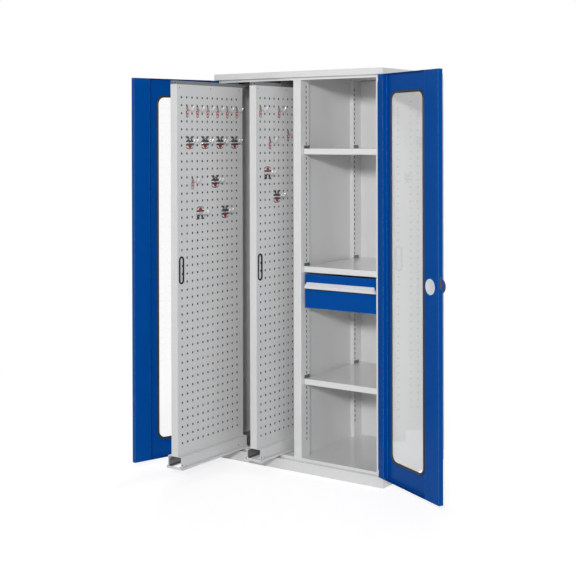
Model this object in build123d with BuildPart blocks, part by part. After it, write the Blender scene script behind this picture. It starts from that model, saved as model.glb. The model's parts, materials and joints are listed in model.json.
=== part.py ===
from build123d import *
import os

# Steel tool cabinet with two window doors.  The left bay holds two pull-out panels on
# telescopic carriages, the right bay holds shelves and a drawer.
#
# Frame: origin at the bottom centre of the carcass, X to the right, Y to the back, Z up,
# millimetres.  Every piece is drawn with its door closed or its pull-out where it stands.

# ---------------------------------------------------------------- carcass
WIDTH = 1000.0
DEPTH = 600.0
HEIGHT = 1950.0
SHEET = 1.5
CORNER_RADIUS = 4.0
PLINTH_HEIGHT = 51.0
PLINTH_SHEET = 2.0
PLINTH_FLANGE = 40.0
COVER_HEIGHT = 30.0
COVER_LIP = 16.0
FRAME_SETBACK = 26.0
FRAME_STRIP = 50.0
REAR_RETURN = 20.0
FLOOR_RISE = 13.0
CEILING_RISE = 5.0
HEADER_DROP = 13.0
BACK_RECESS = 22.0

FRONT = -DEPTH / 2
BACK = DEPTH / 2
SIDE = WIDTH / 2
FRAME_FRONT = FRONT + FRAME_SETBACK
BACK_FACE = BACK - BACK_RECESS
FLOOR = PLINTH_HEIGHT + FLOOR_RISE
COVER_BOTTOM = HEIGHT - COVER_HEIGHT
CEILING = COVER_BOTTOM + CEILING_RISE
HEADER_BOTTOM = COVER_BOTTOM - HEADER_DROP
WALL = SIDE - FRAME_STRIP

# ---------------------------------------------------------------- posts and partition
PARTITION_WIDTH = 44.0
PARTITION_SHEET = 1.4
POST_DEPTH = 74.0
REAR_POST_DEPTH = 72.0
SLOT_WIDTH = 8.0
SLOT_LENGTH = 14.0
SLOT_SPACING = 25.0
SLOT_FIRST = 150.0
SLOT_TOP_MARGIN = 45.0
FRONT_SLOT_INSET = 47.5
REAR_SLOT_INSET = 10.0

PARTITION = PARTITION_WIDTH / 2
POST_BACK = FRAME_FRONT + POST_DEPTH
REAR_POST_FRONT = BACK_FACE - REAR_POST_DEPTH
FRONT_SLOT_Y = FRAME_FRONT + FRONT_SLOT_INSET
REAR_SLOT_Y = REAR_POST_FRONT + REAR_SLOT_INSET
SLOT_COUNT = int((COVER_BOTTOM - SLOT_TOP_MARGIN - SLOT_FIRST) / SLOT_SPACING) + 1

# ---------------------------------------------------------------- shelves
SHELF_SLOTS = {"lower_shelf": 12, "middle_shelf": 34, "upper_shelf": 57}
SHELF_SHEET = 1.2
SHELF_THICKNESS = 28.0
SHELF_LIP = 12.0
SHELF_SETBACK = 24.0
SHELF_SIDE_GAP = 2.0
SHELF_REAR_GAP = 2.0
SHELF_BELOW_SLOT = 2.0
CLIP_SHEET = 1.5
CLIP_LENGTH = 46.0
CLIP_RISE = 15.0
CLIP_FOOT = 16.0
CLIP_PEG_HEIGHT = 10.0
CLIP_PEG_WIDTH = 6.0
CLIP_PEG_LENGTH = 4.0

SHELF_FRONT = FRAME_FRONT + SHELF_SETBACK
SHELF_BACK = BACK_FACE - SHELF_REAR_GAP


def slot_height(number):
    """Centre height of one slot in a post, counted from the lowest."""
    return SLOT_FIRST + SLOT_SPACING * number


def shelf_top(name):
    """Top face of one shelf, set by the slots that its clips hang in."""
    return slot_height(SHELF_SLOTS[name]) - SHELF_BELOW_SLOT


# ---------------------------------------------------------------- ball-bearing slides
SLIDE_SHEET = 1.5
SLIDE_GAP = 0.4

# ---------------------------------------------------------------- pull-out panels
PULLOUT_SETBACK = 18.5
LEFT_PULLOUT_INSET = 90.9
RIGHT_PULLOUT_INSET = 112.2
LEFT_EXTENSION = 516.0
RIGHT_EXTENSION = 198.6
PANEL_THICKNESS = 38.0
PANEL_LENGTH = 502.0
PANEL_SHEET = 1.5
CAP_HEIGHT = 21.0
CAP_GROOVE_DROP = 8.0
CAP_GROOVE = 1.5
CAP_GROOVE_DEPTH = 0.6
HOLE_SIZE = 10.0
HOLE_SPACING = 38.0
FIRST_COLUMN = 35.0
TOP_ROW_DROP = 60.6

BEAM_CLEARANCE = 2.0
BEAM_HEIGHT = 61.0
BEAM_WIDTH = 82.0
BEAM_SHEET = 2.0
BEAM_LIP = 8.0
BEAM_LIP_HEIGHT = 11.0
CATCH_INSET = 36.0
CATCH_HEIGHT = 14.0
CATCH_WIDTH = 5.0
CATCH_LENGTH = 12.0
TRACK_WIDTH = 38.0
TRACK_SHEET = 2.0
TRACK_SETBACK = 6.0
TRACK_REAR_GAP = 20.0
CARRIAGE_SLIDE_HEIGHT = 44.0
CARRIAGE_SLIDE_CENTRE = 28.0
CARRIAGE_FLANGE = 12.0

GUIDE_HEIGHT = 44.0
GUIDE_SHEET = 1.5
GUIDE_CLEARANCE = 2.0
RUNNER_WIDTH = 36.0
RUNNER_HEIGHT = 17.0
RUNNER_SHEET = 2.0
RUNNER_TAIL = 27.0

PANEL_BOTTOM = FLOOR + BEAM_CLEARANCE + BEAM_HEIGHT
PANEL_TOP = CEILING - GUIDE_HEIGHT - GUIDE_CLEARANCE
PULLOUT_CLOSED_FRONT = FRAME_FRONT + PULLOUT_SETBACK
LEFT_PULLOUT_X = -WALL + LEFT_PULLOUT_INSET
RIGHT_PULLOUT_X = -PARTITION - RIGHT_PULLOUT_INSET

HANDLE_HEIGHT = 132.0
HANDLE_WIDTH = 38.0
HANDLE_RIM = 8.0
HANDLE_SLEEVE = 12.0
HANDLE_LIP = 1.5
HANDLE_INSET = 31.0
HANDLE_DROP = 877.6

# ---------------------------------------------------------------- tool hooks
PEG_SIZE = 8.0
PEG_LENGTH = 9.0
HOOK_PLATE = 1.5
HOOK_WIRE = 4.5
HOOK_REACH = 44.0
HOOK_TIP = 12.0
HOOK_WIRE_DROP = 20.0
SINGLE_PLATE_WIDTH = 13.0
SINGLE_TAB_WIDTH = 14.0
DOUBLE_MARGIN = 9.0
PLATE_HEIGHT = 52.0
PLATE_RISE = 3.0
TAB_TOP = 24.0
TAB_HEIGHT = 17.0
TAB_THICKNESS = 3.0
PRONG_SPACING = 26.0

# Places of the hooks as (column, row) of the upper left hole that each one hangs in.
LEFT_SINGLE_HOOKS = [(column, 1) for column in range(1, 12, 2)] + [(2, 10)]
LEFT_DOUBLE_HOOKS = [(1, 5), (4, 5), (7, 5), (10, 5), (6, 10), (8, 14), (3, 14)]
RIGHT_SINGLE_HOOKS = [(0, 1), (4, 1), (6, 4), (2, 5)]
RIGHT_DOUBLE_HOOKS = [(3, 12), (1, 9)]

# ---------------------------------------------------------------- drawer
DRAWER_FRONT_SETBACK = 19.0
DRAWER_FRONT_THICKNESS = 20.0
DRAWER_FRONT_HEIGHT = 164.0
DRAWER_SIDE_GAP = 9.0
DRAWER_BELOW_SHELF = 9.0
DRAWER_DEPTH = 480.0
DRAWER_SHEET = 1.0
DRAWER_BOX_DROP = 21.0
DRAWER_BOX_FLOOR = 6.0
DRAWER_TRAVEL = 400.0
DRAWER_SLIDE_HEIGHT = 44.0
DRAWER_SLIDE_CENTRE = 53.0
DRAWER_FLANGE = 10.0
SLIDE_PACK = 17.7
GRIP_HEIGHT = 30.0
GRIP_DROP = 39.0
GRIP_DEPTH = 12.0
GRIP_SHEET = 2.0
GRIP_BOTTOM_INSET = 2.0
GRIP_TOP_INSET = 14.0

DRAWER_FRONT_Y = FRAME_FRONT + DRAWER_FRONT_SETBACK
DRAWER_TOP = shelf_top("middle_shelf") - SHELF_THICKNESS - DRAWER_BELOW_SHELF
DRAWER_BOTTOM = DRAWER_TOP - DRAWER_FRONT_HEIGHT

# ---------------------------------------------------------------- doors
DOOR_SHEET = 1.2
DOOR_THICKNESS = 23.5
DOOR_SETBACK = 1.0
DOOR_SIDE_GAP = 2.0
DOOR_MIDDLE_GAP = 4.0
DOOR_END_GAP = 2.0
HINGE_BOX = 49.0
HINGE_CHAMFER = 3.0
HINGE_NOTCH = 33.0
HINGE_NOTCH_WIDTH = 12.0
PIVOT_INSET = 10.0
PIVOT_DEPTH = 7.0
PIN_RADIUS = 3.0
PIN_FIT = 0.05
PIN_ENGAGEMENT = 13.0
COLLAR_RADIUS = 7.0
COLLAR_SIDES = 8
LEFT_DOOR_ANGLE = 107.4
RIGHT_DOOR_ANGLE = 152.7

WINDOW_FROM_HINGE = 83.0
WINDOW_FROM_EDGE = 138.0
WINDOW_BOTTOM = 83.0
WINDOW_TOP = 79.5
WINDOW_RADIUS = 45.0
SEAL_WIDTH = 20.0
SEAL_GRIP = 6.0
SEAL_LIP = 1.0
SEAL_BEAD = 5.5
SEAL_SLOPE = 3.0
PANE_THICKNESS = 3.0

RIGHT_BOX_WIDTH = 105.0
LEFT_BOX_WIDTH = 89.0
LOCK_HEIGHT = 981.0
LOCK_FROM_EDGE = 63.0
LOCK_CASE_WIDTH = 92.0
LOCK_CASE_HEIGHT = 150.0
LATCH_HEIGHT = 50.0
LATCH_DROP = 4.0
LATCH_THICKNESS = 7.0
LATCH_RECESS = 1.0
LATCH_FIT = 0.8
ROSETTE_RADIUS = 35.0
ROSETTE_THICKNESS = 2.0
KNOB_RADIUS = 33.0
KNOB_DEPTH = 31.0
KNOB_BACK_RADIUS = 26.0
KNOB_CHAMFER = 6.0
KNOB_GAP = 0.3
KNOB_SHAFT_RADIUS = 5.0
KNOB_SHAFT_LENGTH = 16.0
ROD_RADIUS = 4.0
ROD_FIT = 0.08
ROD_FROM_EDGE = 52.0
ROD_HEADROOM = 0.6
ROD_SEAT = 0.3
KEEPER_LENGTH = 20.0
KEEPER_WIDTH = 10.0

HINGE_EDGE = SIDE - DOOR_SIDE_GAP
FREE_EDGE = DOOR_MIDDLE_GAP / 2
DOOR_BOTTOM = PLINTH_HEIGHT + DOOR_END_GAP
DOOR_TOP = COVER_BOTTOM - DOOR_END_GAP
DOOR_OUTSIDE = FRONT + DOOR_SETBACK
DOOR_INSIDE = DOOR_OUTSIDE + DOOR_THICKNESS
PIVOT_X = SIDE - PIVOT_INSET
PIVOT_Y = FRONT + PIVOT_DEPTH
ROD_X = FREE_EDGE + ROD_FROM_EDGE
ROD_Y = DOOR_OUTSIDE + DOOR_THICKNESS / 2


# ---------------------------------------------------------------- shared helpers
def keep(piece, name, place=None):
    """Label a finished piece, put it where it stands and write its STEP file."""
    if place is not None:
        piece.part.move(place)
    piece.part.label = name
    export_step(piece.part, f"parts/{name}.step")


def facing(y):
    """Upright plane at depth y: X to the right, Z up, seen from the front."""
    return Plane(origin=(0, y, 0), x_dir=(1, 0, 0), z_dir=(0, -1, 0))


def sideways(x):
    """Upright plane at distance x: Y to the back, Z up, seen from the right."""
    return Plane(origin=(x, 0, 0), x_dir=(0, 1, 0), z_dir=(1, 0, 0))


def span(x_low, x_high, y_low, y_high, mode=Mode.ADD):
    """Rectangle on the current sketch from its four limits."""
    with Locations(((x_low + x_high) / 2, (y_low + y_high) / 2)):
        Rectangle(abs(x_high - x_low), abs(y_high - y_low), mode=mode)


def channel_section(web_x, tip_x, centre_z, height, thickness):
    """C-section on the current sketch: web at web_x, two flanges reaching to tip_x."""
    inward = thickness if tip_x > web_x else -thickness
    half = height / 2
    span(web_x, tip_x, centre_z - half, centre_z + half)
    inner = half - thickness
    span(web_x + inward, tip_x, centre_z - inner, centre_z + inner, mode=Mode.SUBTRACT)


# ---------------------------------------------------------------- carcass pieces
def make_plinth():
    """Base ring of folded C-section with a keeper slot for the lower lock rod."""
    with BuildPart() as plinth:
        with BuildSketch():
            Rectangle(WIDTH, DEPTH)
        extrude(amount=PLINTH_HEIGHT)
        fillet(plinth.edges().filter_by(Axis.Z), CORNER_RADIUS)
        with BuildSketch(Plane.XY.offset(PLINTH_SHEET)):
            Rectangle(WIDTH - 2 * PLINTH_SHEET, DEPTH - 2 * PLINTH_SHEET)
        extrude(amount=PLINTH_HEIGHT - 2 * PLINTH_SHEET, mode=Mode.SUBTRACT)
        with BuildSketch():
            Rectangle(WIDTH - 2 * PLINTH_FLANGE, DEPTH - 2 * PLINTH_FLANGE)
        extrude(amount=PLINTH_HEIGHT, mode=Mode.SUBTRACT)
        with BuildSketch(Plane.XY.offset(PLINTH_HEIGHT)):
            with Locations((ROD_X, ROD_Y)):
                Rectangle(KEEPER_LENGTH, KEEPER_WIDTH)
        extrude(amount=-PLINTH_SHEET, mode=Mode.SUBTRACT)
    keep(plinth, "plinth")


def make_floor_panel():
    """Floor tray: level sheet with edges turned down onto the plinth."""
    inside = SIDE - SHEET
    with BuildPart() as floor_panel:
        with BuildSketch(Plane.XY.offset(PLINTH_HEIGHT)):
            span(-inside, inside, FRAME_FRONT + SHEET, BACK_FACE)
            span(-WALL, WALL, FRAME_FRONT, FRAME_FRONT + SHEET)
        extrude(amount=FLOOR_RISE)
        with BuildSketch(Plane.XY.offset(PLINTH_HEIGHT)):
            span(-inside + SHEET, inside - SHEET, FRAME_FRONT + 2 * SHEET, BACK_FACE - SHEET)
            span(-WALL + SHEET, WALL - SHEET, FRAME_FRONT + SHEET, FRAME_FRONT + 2 * SHEET)
        extrude(amount=FLOOR_RISE - SHEET, mode=Mode.SUBTRACT)
    keep(floor_panel, "floor_panel")


def make_side_panels():
    """Outer walls: one sheet each, folded to the front frame strip and the rear return."""
    with BuildPart() as right_side_panel:
        with BuildSketch(Plane.XY.offset(PLINTH_HEIGHT)):
            with BuildLine():
                Polyline(
                    (WALL, FRAME_FRONT),
                    (SIDE, FRAME_FRONT),
                    (SIDE, BACK),
                    (SIDE - REAR_RETURN, BACK),
                )
                offset(amount=SHEET, side=Side.LEFT, kind=Kind.INTERSECTION)
            make_face()
        extrude(amount=COVER_BOTTOM - PLINTH_HEIGHT)
    keep(right_side_panel, "right_side_panel")
    with BuildPart() as left_side_panel:
        mirror(right_side_panel.part, about=Plane.YZ)
    keep(left_side_panel, "left_side_panel")


def make_back_panel():
    """Back wall: a shallow tray, open to the rear, seated on the side returns."""
    inside = SIDE - SHEET
    with BuildPart() as back_panel:
        with BuildSketch(Plane.XY.offset(PLINTH_HEIGHT)):
            with BuildLine():
                Polyline(
                    (-inside, BACK - SHEET),
                    (-inside, BACK_FACE),
                    (inside, BACK_FACE),
                    (inside, BACK - SHEET),
                )
                offset(amount=SHEET, side=Side.LEFT, kind=Kind.INTERSECTION)
            make_face()
        extrude(amount=COVER_BOTTOM - PLINTH_HEIGHT)
    keep(back_panel, "back_panel")


def make_top_cover():
    """Top tray with rounded corners and a lip turned in under its fascia."""
    with BuildPart() as top_cover:
        with BuildSketch(Plane.XY.offset(COVER_BOTTOM)):
            Rectangle(WIDTH, DEPTH)
        extrude(amount=COVER_HEIGHT)
        fillet(top_cover.edges().filter_by(Axis.Z), CORNER_RADIUS)
        top_edges = top_cover.faces().sort_by(Axis.Z)[-1].edges()
        chamfer(top_edges, SHEET)
        with BuildSketch(Plane.XY.offset(COVER_BOTTOM + SHEET)):
            Rectangle(WIDTH - 4 * SHEET, DEPTH - 4 * SHEET)
        extrude(amount=COVER_HEIGHT - 2 * SHEET, mode=Mode.SUBTRACT)
        with BuildSketch(Plane.XY.offset(COVER_BOTTOM)):
            span(-SIDE + COVER_LIP, SIDE - COVER_LIP, FRAME_FRONT, BACK - REAR_RETURN)
            with Locations((ROD_X, ROD_Y)):
                Rectangle(KEEPER_LENGTH, KEEPER_WIDTH)
        extrude(amount=SHEET, mode=Mode.SUBTRACT)
    keep(top_cover, "top_cover")


def make_ceiling_panel():
    """Inner ceiling: a tray on the cover's lip, with the header strip over the doorway."""
    half = SIDE - COVER_LIP / 2
    rear = BACK - REAR_RETURN / 2
    lip_top = COVER_BOTTOM + SHEET
    with BuildPart() as ceiling_panel:
        with BuildSketch(Plane.XY.offset(lip_top)):
            span(-half, half, FRAME_FRONT, rear)
        extrude(amount=CEILING + SHEET - lip_top)
        with BuildSketch(Plane.XY.offset(lip_top)):
            span(-half + SHEET, half - SHEET, FRAME_FRONT + SHEET, rear - SHEET)
        extrude(amount=CEILING - lip_top, mode=Mode.SUBTRACT)
        with BuildSketch(facing(FRAME_FRONT)):
            span(-WALL, WALL, HEADER_BOTTOM, lip_top)
        extrude(amount=-SHEET)
    keep(ceiling_panel, "ceiling_panel")


# ---------------------------------------------------------------- posts and partition
def cut_slots(face_x, inward, numbers):
    """Front and rear column of shelf slots through the post faces at face_x."""
    with BuildSketch(sideways(face_x)) as slots:
        for slot_y in (FRONT_SLOT_Y, REAR_SLOT_Y):
            with Locations(*[(slot_y, slot_height(number)) for number in numbers]):
                Rectangle(SLOT_WIDTH, SLOT_LENGTH)
    extrude(slots.sketch, amount=inward * SHEET, mode=Mode.SUBTRACT)


def make_partition():
    """Middle wall with its slotted box post in front and slotted flange post behind."""
    half = PARTITION_SHEET / 2
    with BuildPart() as partition_panel:
        with BuildSketch(Plane.XY.offset(FLOOR)):
            span(-half, half, POST_BACK, BACK_FACE)
        extrude(amount=CEILING - FLOOR)
    keep(partition_panel, "partition_panel")

    with BuildPart() as partition_posts:
        with BuildSketch(Plane.XY.offset(FLOOR)):
            span(-PARTITION, PARTITION, FRAME_FRONT, POST_BACK)
            inner = PARTITION - SHEET
            span(-inner, inner, FRAME_FRONT + SHEET, POST_BACK - SHEET, mode=Mode.SUBTRACT)
        extrude(amount=CEILING - FLOOR)
        with BuildSketch(facing(FRAME_FRONT)):
            span(-PARTITION, PARTITION, HEADER_BOTTOM, CEILING)
        extrude(amount=-SHEET, mode=Mode.SUBTRACT)
        with BuildSketch(Plane.XY.offset(FLOOR)):
            with BuildLine():
                Polyline(
                    (half, REAR_POST_FRONT),
                    (PARTITION, REAR_POST_FRONT),
                    (PARTITION, BACK_FACE),
                    (half, BACK_FACE),
                )
                offset(amount=SHEET, side=Side.LEFT, kind=Kind.INTERSECTION)
            make_face()
        extrude(amount=CEILING - FLOOR)
        cut_slots(PARTITION, -1, range(SLOT_COUNT))
    keep(partition_posts, "partition_posts")


def wall_posts():
    """Front and rear posts folded against the right side wall, still without slots."""
    inside = SIDE - SHEET
    with BuildSketch(Plane.XY.offset(FLOOR)) as sections:
        with BuildLine():
            Polyline((WALL, FRAME_FRONT + SHEET), (WALL, POST_BACK), (inside, POST_BACK))
            offset(amount=SHEET, side=Side.RIGHT, kind=Kind.INTERSECTION)
        make_face()
        with BuildLine():
            Polyline((WALL, BACK_FACE), (WALL, REAR_POST_FRONT), (inside, REAR_POST_FRONT))
            offset(amount=SHEET, side=Side.LEFT, kind=Kind.INTERSECTION)
        make_face()
    extrude(sections.sketch, amount=COVER_BOTTOM - FLOOR)


def make_wall_posts():
    """Posts on both side walls; those of the shelf bay are slotted where clips hang."""
    with BuildPart() as plain_posts:
        wall_posts()
    with BuildPart() as left_posts:
        mirror(plain_posts.part, about=Plane.YZ)
    keep(left_posts, "left_posts")
    with BuildPart() as right_posts:
        wall_posts()
        used = [number - step for number in SHELF_SLOTS.values() for step in (0, 1)]
        cut_slots(WALL, 1, used)
    keep(right_posts, "right_posts")


# ---------------------------------------------------------------- shelves
def make_shelf(name):
    """Shelf: sheet with deep edges turned down and in again."""
    left = PARTITION + SHELF_SIDE_GAP
    right = WALL - SHELF_SIDE_GAP
    bottom = shelf_top(name) - SHELF_THICKNESS
    wall = SHELF_SHEET
    with BuildPart() as shelf:
        with BuildSketch(Plane.XY.offset(bottom)):
            span(left, right, SHELF_FRONT, SHELF_BACK)
        extrude(amount=SHELF_THICKNESS)
        with BuildSketch(Plane.XY.offset(bottom + wall)):
            span(left + wall, right - wall, SHELF_FRONT + wall, SHELF_BACK - wall)
        extrude(amount=SHELF_THICKNESS - 2 * wall, mode=Mode.SUBTRACT)
        with BuildSketch(Plane.XY.offset(bottom)):
            lip = SHELF_LIP
            span(left + lip, right - lip, SHELF_FRONT + lip, SHELF_BACK - lip)
        extrude(amount=wall, mode=Mode.SUBTRACT)
    keep(shelf, name)


def shelf_clip(face_x, inward, slot_y, top):
    """One clip: plate on the post face, foot under the shelf and two pegs in the slots."""
    underside = top - SHELF_THICKNESS
    plate_x = face_x + inward * CLIP_SHEET
    foot_x = face_x + inward * CLIP_FOOT
    peg_x = face_x - inward * CLIP_PEG_LENGTH
    centre_y = slot_y + (CLIP_SHEET if slot_y < 0 else 2 * CLIP_SHEET + REAR_SLOT_INSET)
    start = centre_y + CLIP_LENGTH / 2
    with BuildSketch(facing(start)) as angle:
        span(face_x, plate_x, underside - CLIP_SHEET, top + CLIP_RISE)
        span(face_x, foot_x, underside - CLIP_SHEET, underside)
    extrude(angle.sketch, amount=CLIP_LENGTH)
    with BuildSketch(facing(slot_y + CLIP_PEG_WIDTH / 2)) as pegs:
        for height in (top + SHELF_BELOW_SLOT, top + SHELF_BELOW_SLOT - SLOT_SPACING):
            half = CLIP_PEG_HEIGHT / 2
            span(peg_x, plate_x, height - half, height + half)
    extrude(pegs.sketch, amount=CLIP_PEG_WIDTH)


def make_shelf_clips():
    """Four clips under each shelf."""
    with BuildPart() as shelf_clips:
        for name in SHELF_SLOTS:
            for face_x, inward in ((PARTITION, 1), (WALL, -1)):
                for slot_y in (FRONT_SLOT_Y, REAR_SLOT_Y):
                    shelf_clip(face_x, inward, slot_y, shelf_top(name))
    keep(shelf_clips, "shelf_clips")


# ---------------------------------------------------------------- telescopic slides
def slide_pair(centre_x, web, tip, height, centre_z, y_front, length):
    """Two mirrored slide members; web and tip are distances from the centre line."""
    with BuildSketch(facing(y_front)) as sections:
        for side in (-1, 1):
            web_x = centre_x + side * web
            tip_x = centre_x + side * tip
            channel_section(web_x, tip_x, centre_z, height, SLIDE_SHEET)
    extrude(sections.sketch, amount=-length)


def nested_height(height, level):
    """Height of the slide member that lies level steps inside the outermost one."""
    return height - 2 * level * (SLIDE_SHEET + SLIDE_GAP)


# ---------------------------------------------------------------- pull-out panels
def hole_place(front, column, row):
    """Depth and height of one hole of the perforation of a panel."""
    return front + FIRST_COLUMN + HOLE_SPACING * column, PANEL_TOP - TOP_ROW_DROP - HOLE_SPACING * row


def peg_places(front, singles, doubles):
    """Holes that pegs hang in: two in a column for a single hook, two in a row for a double."""
    places = []
    for column, row in singles:
        places.append(hole_place(front, column, row))
        places.append(hole_place(front, column, row + 1))
    for column, row in doubles:
        places.append(hole_place(front, column, row))
        places.append(hole_place(front, column + 1, row))
    return places


def make_panel(name, centre, front, pegs):
    """Hollow tool panel: face tray to the right, back sheet and cap channel."""
    half = PANEL_THICKNESS / 2
    rear = front + PANEL_LENGTH
    seam = PANEL_TOP - CAP_HEIGHT
    handle_z = PANEL_TOP - HANDLE_DROP
    with BuildPart() as face_tray:
        with BuildSketch(Plane.XY.offset(PANEL_BOTTOM)):
            with BuildLine():
                Polyline(
                    (centre - half, front),
                    (centre + half, front),
                    (centre + half, rear),
                    (centre - half, rear),
                )
                offset(amount=PANEL_SHEET, side=Side.LEFT, kind=Kind.INTERSECTION)
            make_face()
        extrude(amount=seam - PANEL_BOTTOM)
        with BuildSketch(sideways(centre + half)):
            with Locations(*pegs):
                Rectangle(HOLE_SIZE, HOLE_SIZE)
            with Locations((front + HANDLE_INSET, handle_z)):
                SlotOverall(HANDLE_HEIGHT, HANDLE_WIDTH, rotation=90)
        extrude(amount=-PANEL_SHEET, mode=Mode.SUBTRACT)
    keep(face_tray, f"{name}_panel_face")

    with BuildPart() as back_sheet:
        with BuildSketch(Plane.XY.offset(PANEL_BOTTOM)):
            edge = centre - half
            span(edge, edge + PANEL_SHEET, front + PANEL_SHEET, rear - PANEL_SHEET)
        extrude(amount=seam - PANEL_BOTTOM)
    keep(back_sheet, f"{name}_panel_back")

    with BuildPart() as cap:
        with BuildSketch(Plane.XY.offset(seam)):
            span(centre - half, centre + half, front, rear)
        extrude(amount=CAP_HEIGHT)
        with BuildSketch(Plane.XY.offset(seam)):
            inner = half - PANEL_SHEET
            span(centre - inner, centre + inner, front + PANEL_SHEET, rear - PANEL_SHEET)
        extrude(amount=CAP_HEIGHT - PANEL_SHEET, mode=Mode.SUBTRACT)
        with BuildSketch(facing(front)):
            groove_z = PANEL_TOP - CAP_GROOVE_DROP
            with Locations((centre - half, groove_z), (centre + half, groove_z)):
                Rectangle(2 * CAP_GROOVE_DEPTH, CAP_GROOVE)
        extrude(amount=-PANEL_LENGTH, mode=Mode.SUBTRACT)
    keep(cap, f"{name}_panel_cap")

    with BuildPart() as handle_rim:
        with BuildSketch(sideways(centre + half + HANDLE_LIP)):
            with Locations((front + HANDLE_INSET, handle_z)):
                SlotOverall(HANDLE_HEIGHT, HANDLE_WIDTH, rotation=90)
                inner = HANDLE_WIDTH - 2 * HANDLE_RIM
                height = HANDLE_HEIGHT - 2 * HANDLE_RIM
                SlotOverall(height, inner, rotation=90, mode=Mode.SUBTRACT)
        extrude(amount=-HANDLE_LIP - HANDLE_SLEEVE)
    keep(handle_rim, f"{name}_handle_rim")


def make_carriage(name, centre, front, extension):
    """Telescopic carriage under a panel: beam, three slide members a side and floor track."""
    bottom = FLOOR + BEAM_CLEARANCE
    half = BEAM_WIDTH / 2
    outer = half + BEAM_LIP
    slide_z = FLOOR + CARRIAGE_SLIDE_CENTRE + BEAM_CLEARANCE
    track_half = TRACK_WIDTH / 2
    inner_wall = half - BEAM_SHEET
    with BuildPart() as beam:
        with BuildSketch(facing(front)):
            span(centre - outer, centre + outer, bottom, bottom + BEAM_LIP_HEIGHT)
            span(centre - half, centre + half, bottom, bottom + BEAM_HEIGHT)
            span(
                centre - inner_wall,
                centre + inner_wall,
                bottom,
                bottom + BEAM_HEIGHT - BEAM_SHEET,
                mode=Mode.SUBTRACT,
            )
            for side in (-1, 1):
                span(
                    centre + side * half,
                    centre + side * (outer - BEAM_SHEET),
                    bottom + BEAM_SHEET,
                    bottom + BEAM_LIP_HEIGHT,
                    mode=Mode.SUBTRACT,
                )
        extrude(amount=-PANEL_LENGTH)
        with BuildSketch(facing(front)):
            span(centre - inner_wall, centre + inner_wall, bottom, bottom + BEAM_LIP_HEIGHT)
        extrude(amount=-BEAM_SHEET)
        with BuildSketch(sideways(centre + half)):
            with Locations((front + CATCH_INSET, bottom + CATCH_HEIGHT)):
                Rectangle(CATCH_WIDTH, CATCH_LENGTH)
        extrude(amount=-BEAM_SHEET, mode=Mode.SUBTRACT)
    keep(beam, f"{name}_carriage_beam")

    height = CARRIAGE_SLIDE_HEIGHT
    flange = CARRIAGE_FLANGE
    middle_web = track_half + 2 * SLIDE_SHEET
    length = BACK_FACE - TRACK_REAR_GAP - PULLOUT_CLOSED_FRONT - TRACK_SETBACK
    track_front = PULLOUT_CLOSED_FRONT + TRACK_SETBACK
    with BuildPart() as moving_slides:
        slide_pair(
            centre,
            inner_wall,
            inner_wall - flange,
            nested_height(height, 2),
            slide_z,
            front + TRACK_SETBACK,
            PANEL_LENGTH - TRACK_SETBACK,
        )
    keep(moving_slides, f"{name}_moving_slides")

    with BuildPart() as middle_slides:
        slide_pair(
            centre,
            middle_web,
            middle_web + flange,
            nested_height(height, 1),
            slide_z,
            track_front - extension / 2,
            length,
        )
    keep(middle_slides, f"{name}_middle_slides")

    with BuildPart() as floor_track:
        with BuildSketch(facing(track_front)):
            top = slide_z + height / 2
            span(centre - track_half, centre + track_half, FLOOR, top)
            inner = track_half - TRACK_SHEET
            span(centre - inner, centre + inner, FLOOR, top - TRACK_SHEET, mode=Mode.SUBTRACT)
            for side in (-1, 1):
                web_x = centre + side * track_half
                channel_section(web_x, web_x + side * flange, slide_z, height, SLIDE_SHEET)
        extrude(amount=-length)
    keep(floor_track, f"{name}_floor_track")


def make_top_guidance(name, centre, front):
    """Runner on the panel's top edge and the channel under the ceiling that guides it."""
    half = RUNNER_WIDTH / 2
    with BuildPart() as runner:
        with BuildSketch(facing(front)):
            span(centre - half, centre + half, PANEL_TOP, PANEL_TOP + RUNNER_HEIGHT)
        extrude(amount=-PANEL_LENGTH - RUNNER_TAIL)
        with BuildSketch(facing(front + RUNNER_SHEET)):
            inner = half - RUNNER_SHEET
            top = PANEL_TOP + RUNNER_HEIGHT - RUNNER_SHEET
            span(centre - inner, centre + inner, PANEL_TOP, top)
        extrude(amount=-PANEL_LENGTH - RUNNER_TAIL, mode=Mode.SUBTRACT)
    keep(runner, f"{name}_top_runner")

    bottom = CEILING - GUIDE_HEIGHT
    wide = half + GUIDE_CLEARANCE
    start = PULLOUT_CLOSED_FRONT + TRACK_SETBACK
    with BuildPart() as guide:
        with BuildSketch(facing(start)):
            outer = wide + GUIDE_SHEET
            span(centre - outer, centre + outer, bottom, CEILING)
            span(centre - wide, centre + wide, bottom, CEILING - GUIDE_SHEET, mode=Mode.SUBTRACT)
        extrude(amount=start - BACK_FACE)
    keep(guide, f"{name}_top_guide")


# ---------------------------------------------------------------- hooks
def hook_wire(root_x, y, z):
    """Bent prong: straight out from the plate and turned up at its end."""
    with BuildLine() as path:
        Polyline(
            (root_x, y, z),
            (root_x + HOOK_REACH - HOOK_TIP, y, z),
            (root_x + HOOK_REACH, y, z + HOOK_TIP),
        )
    with BuildSketch(Plane(origin=path.line @ 0, z_dir=path.line % 0)) as section:
        Rectangle(HOOK_WIRE, HOOK_WIRE)
    sweep(section.sketch, path=path.line, transition=Transition.RIGHT)


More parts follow.
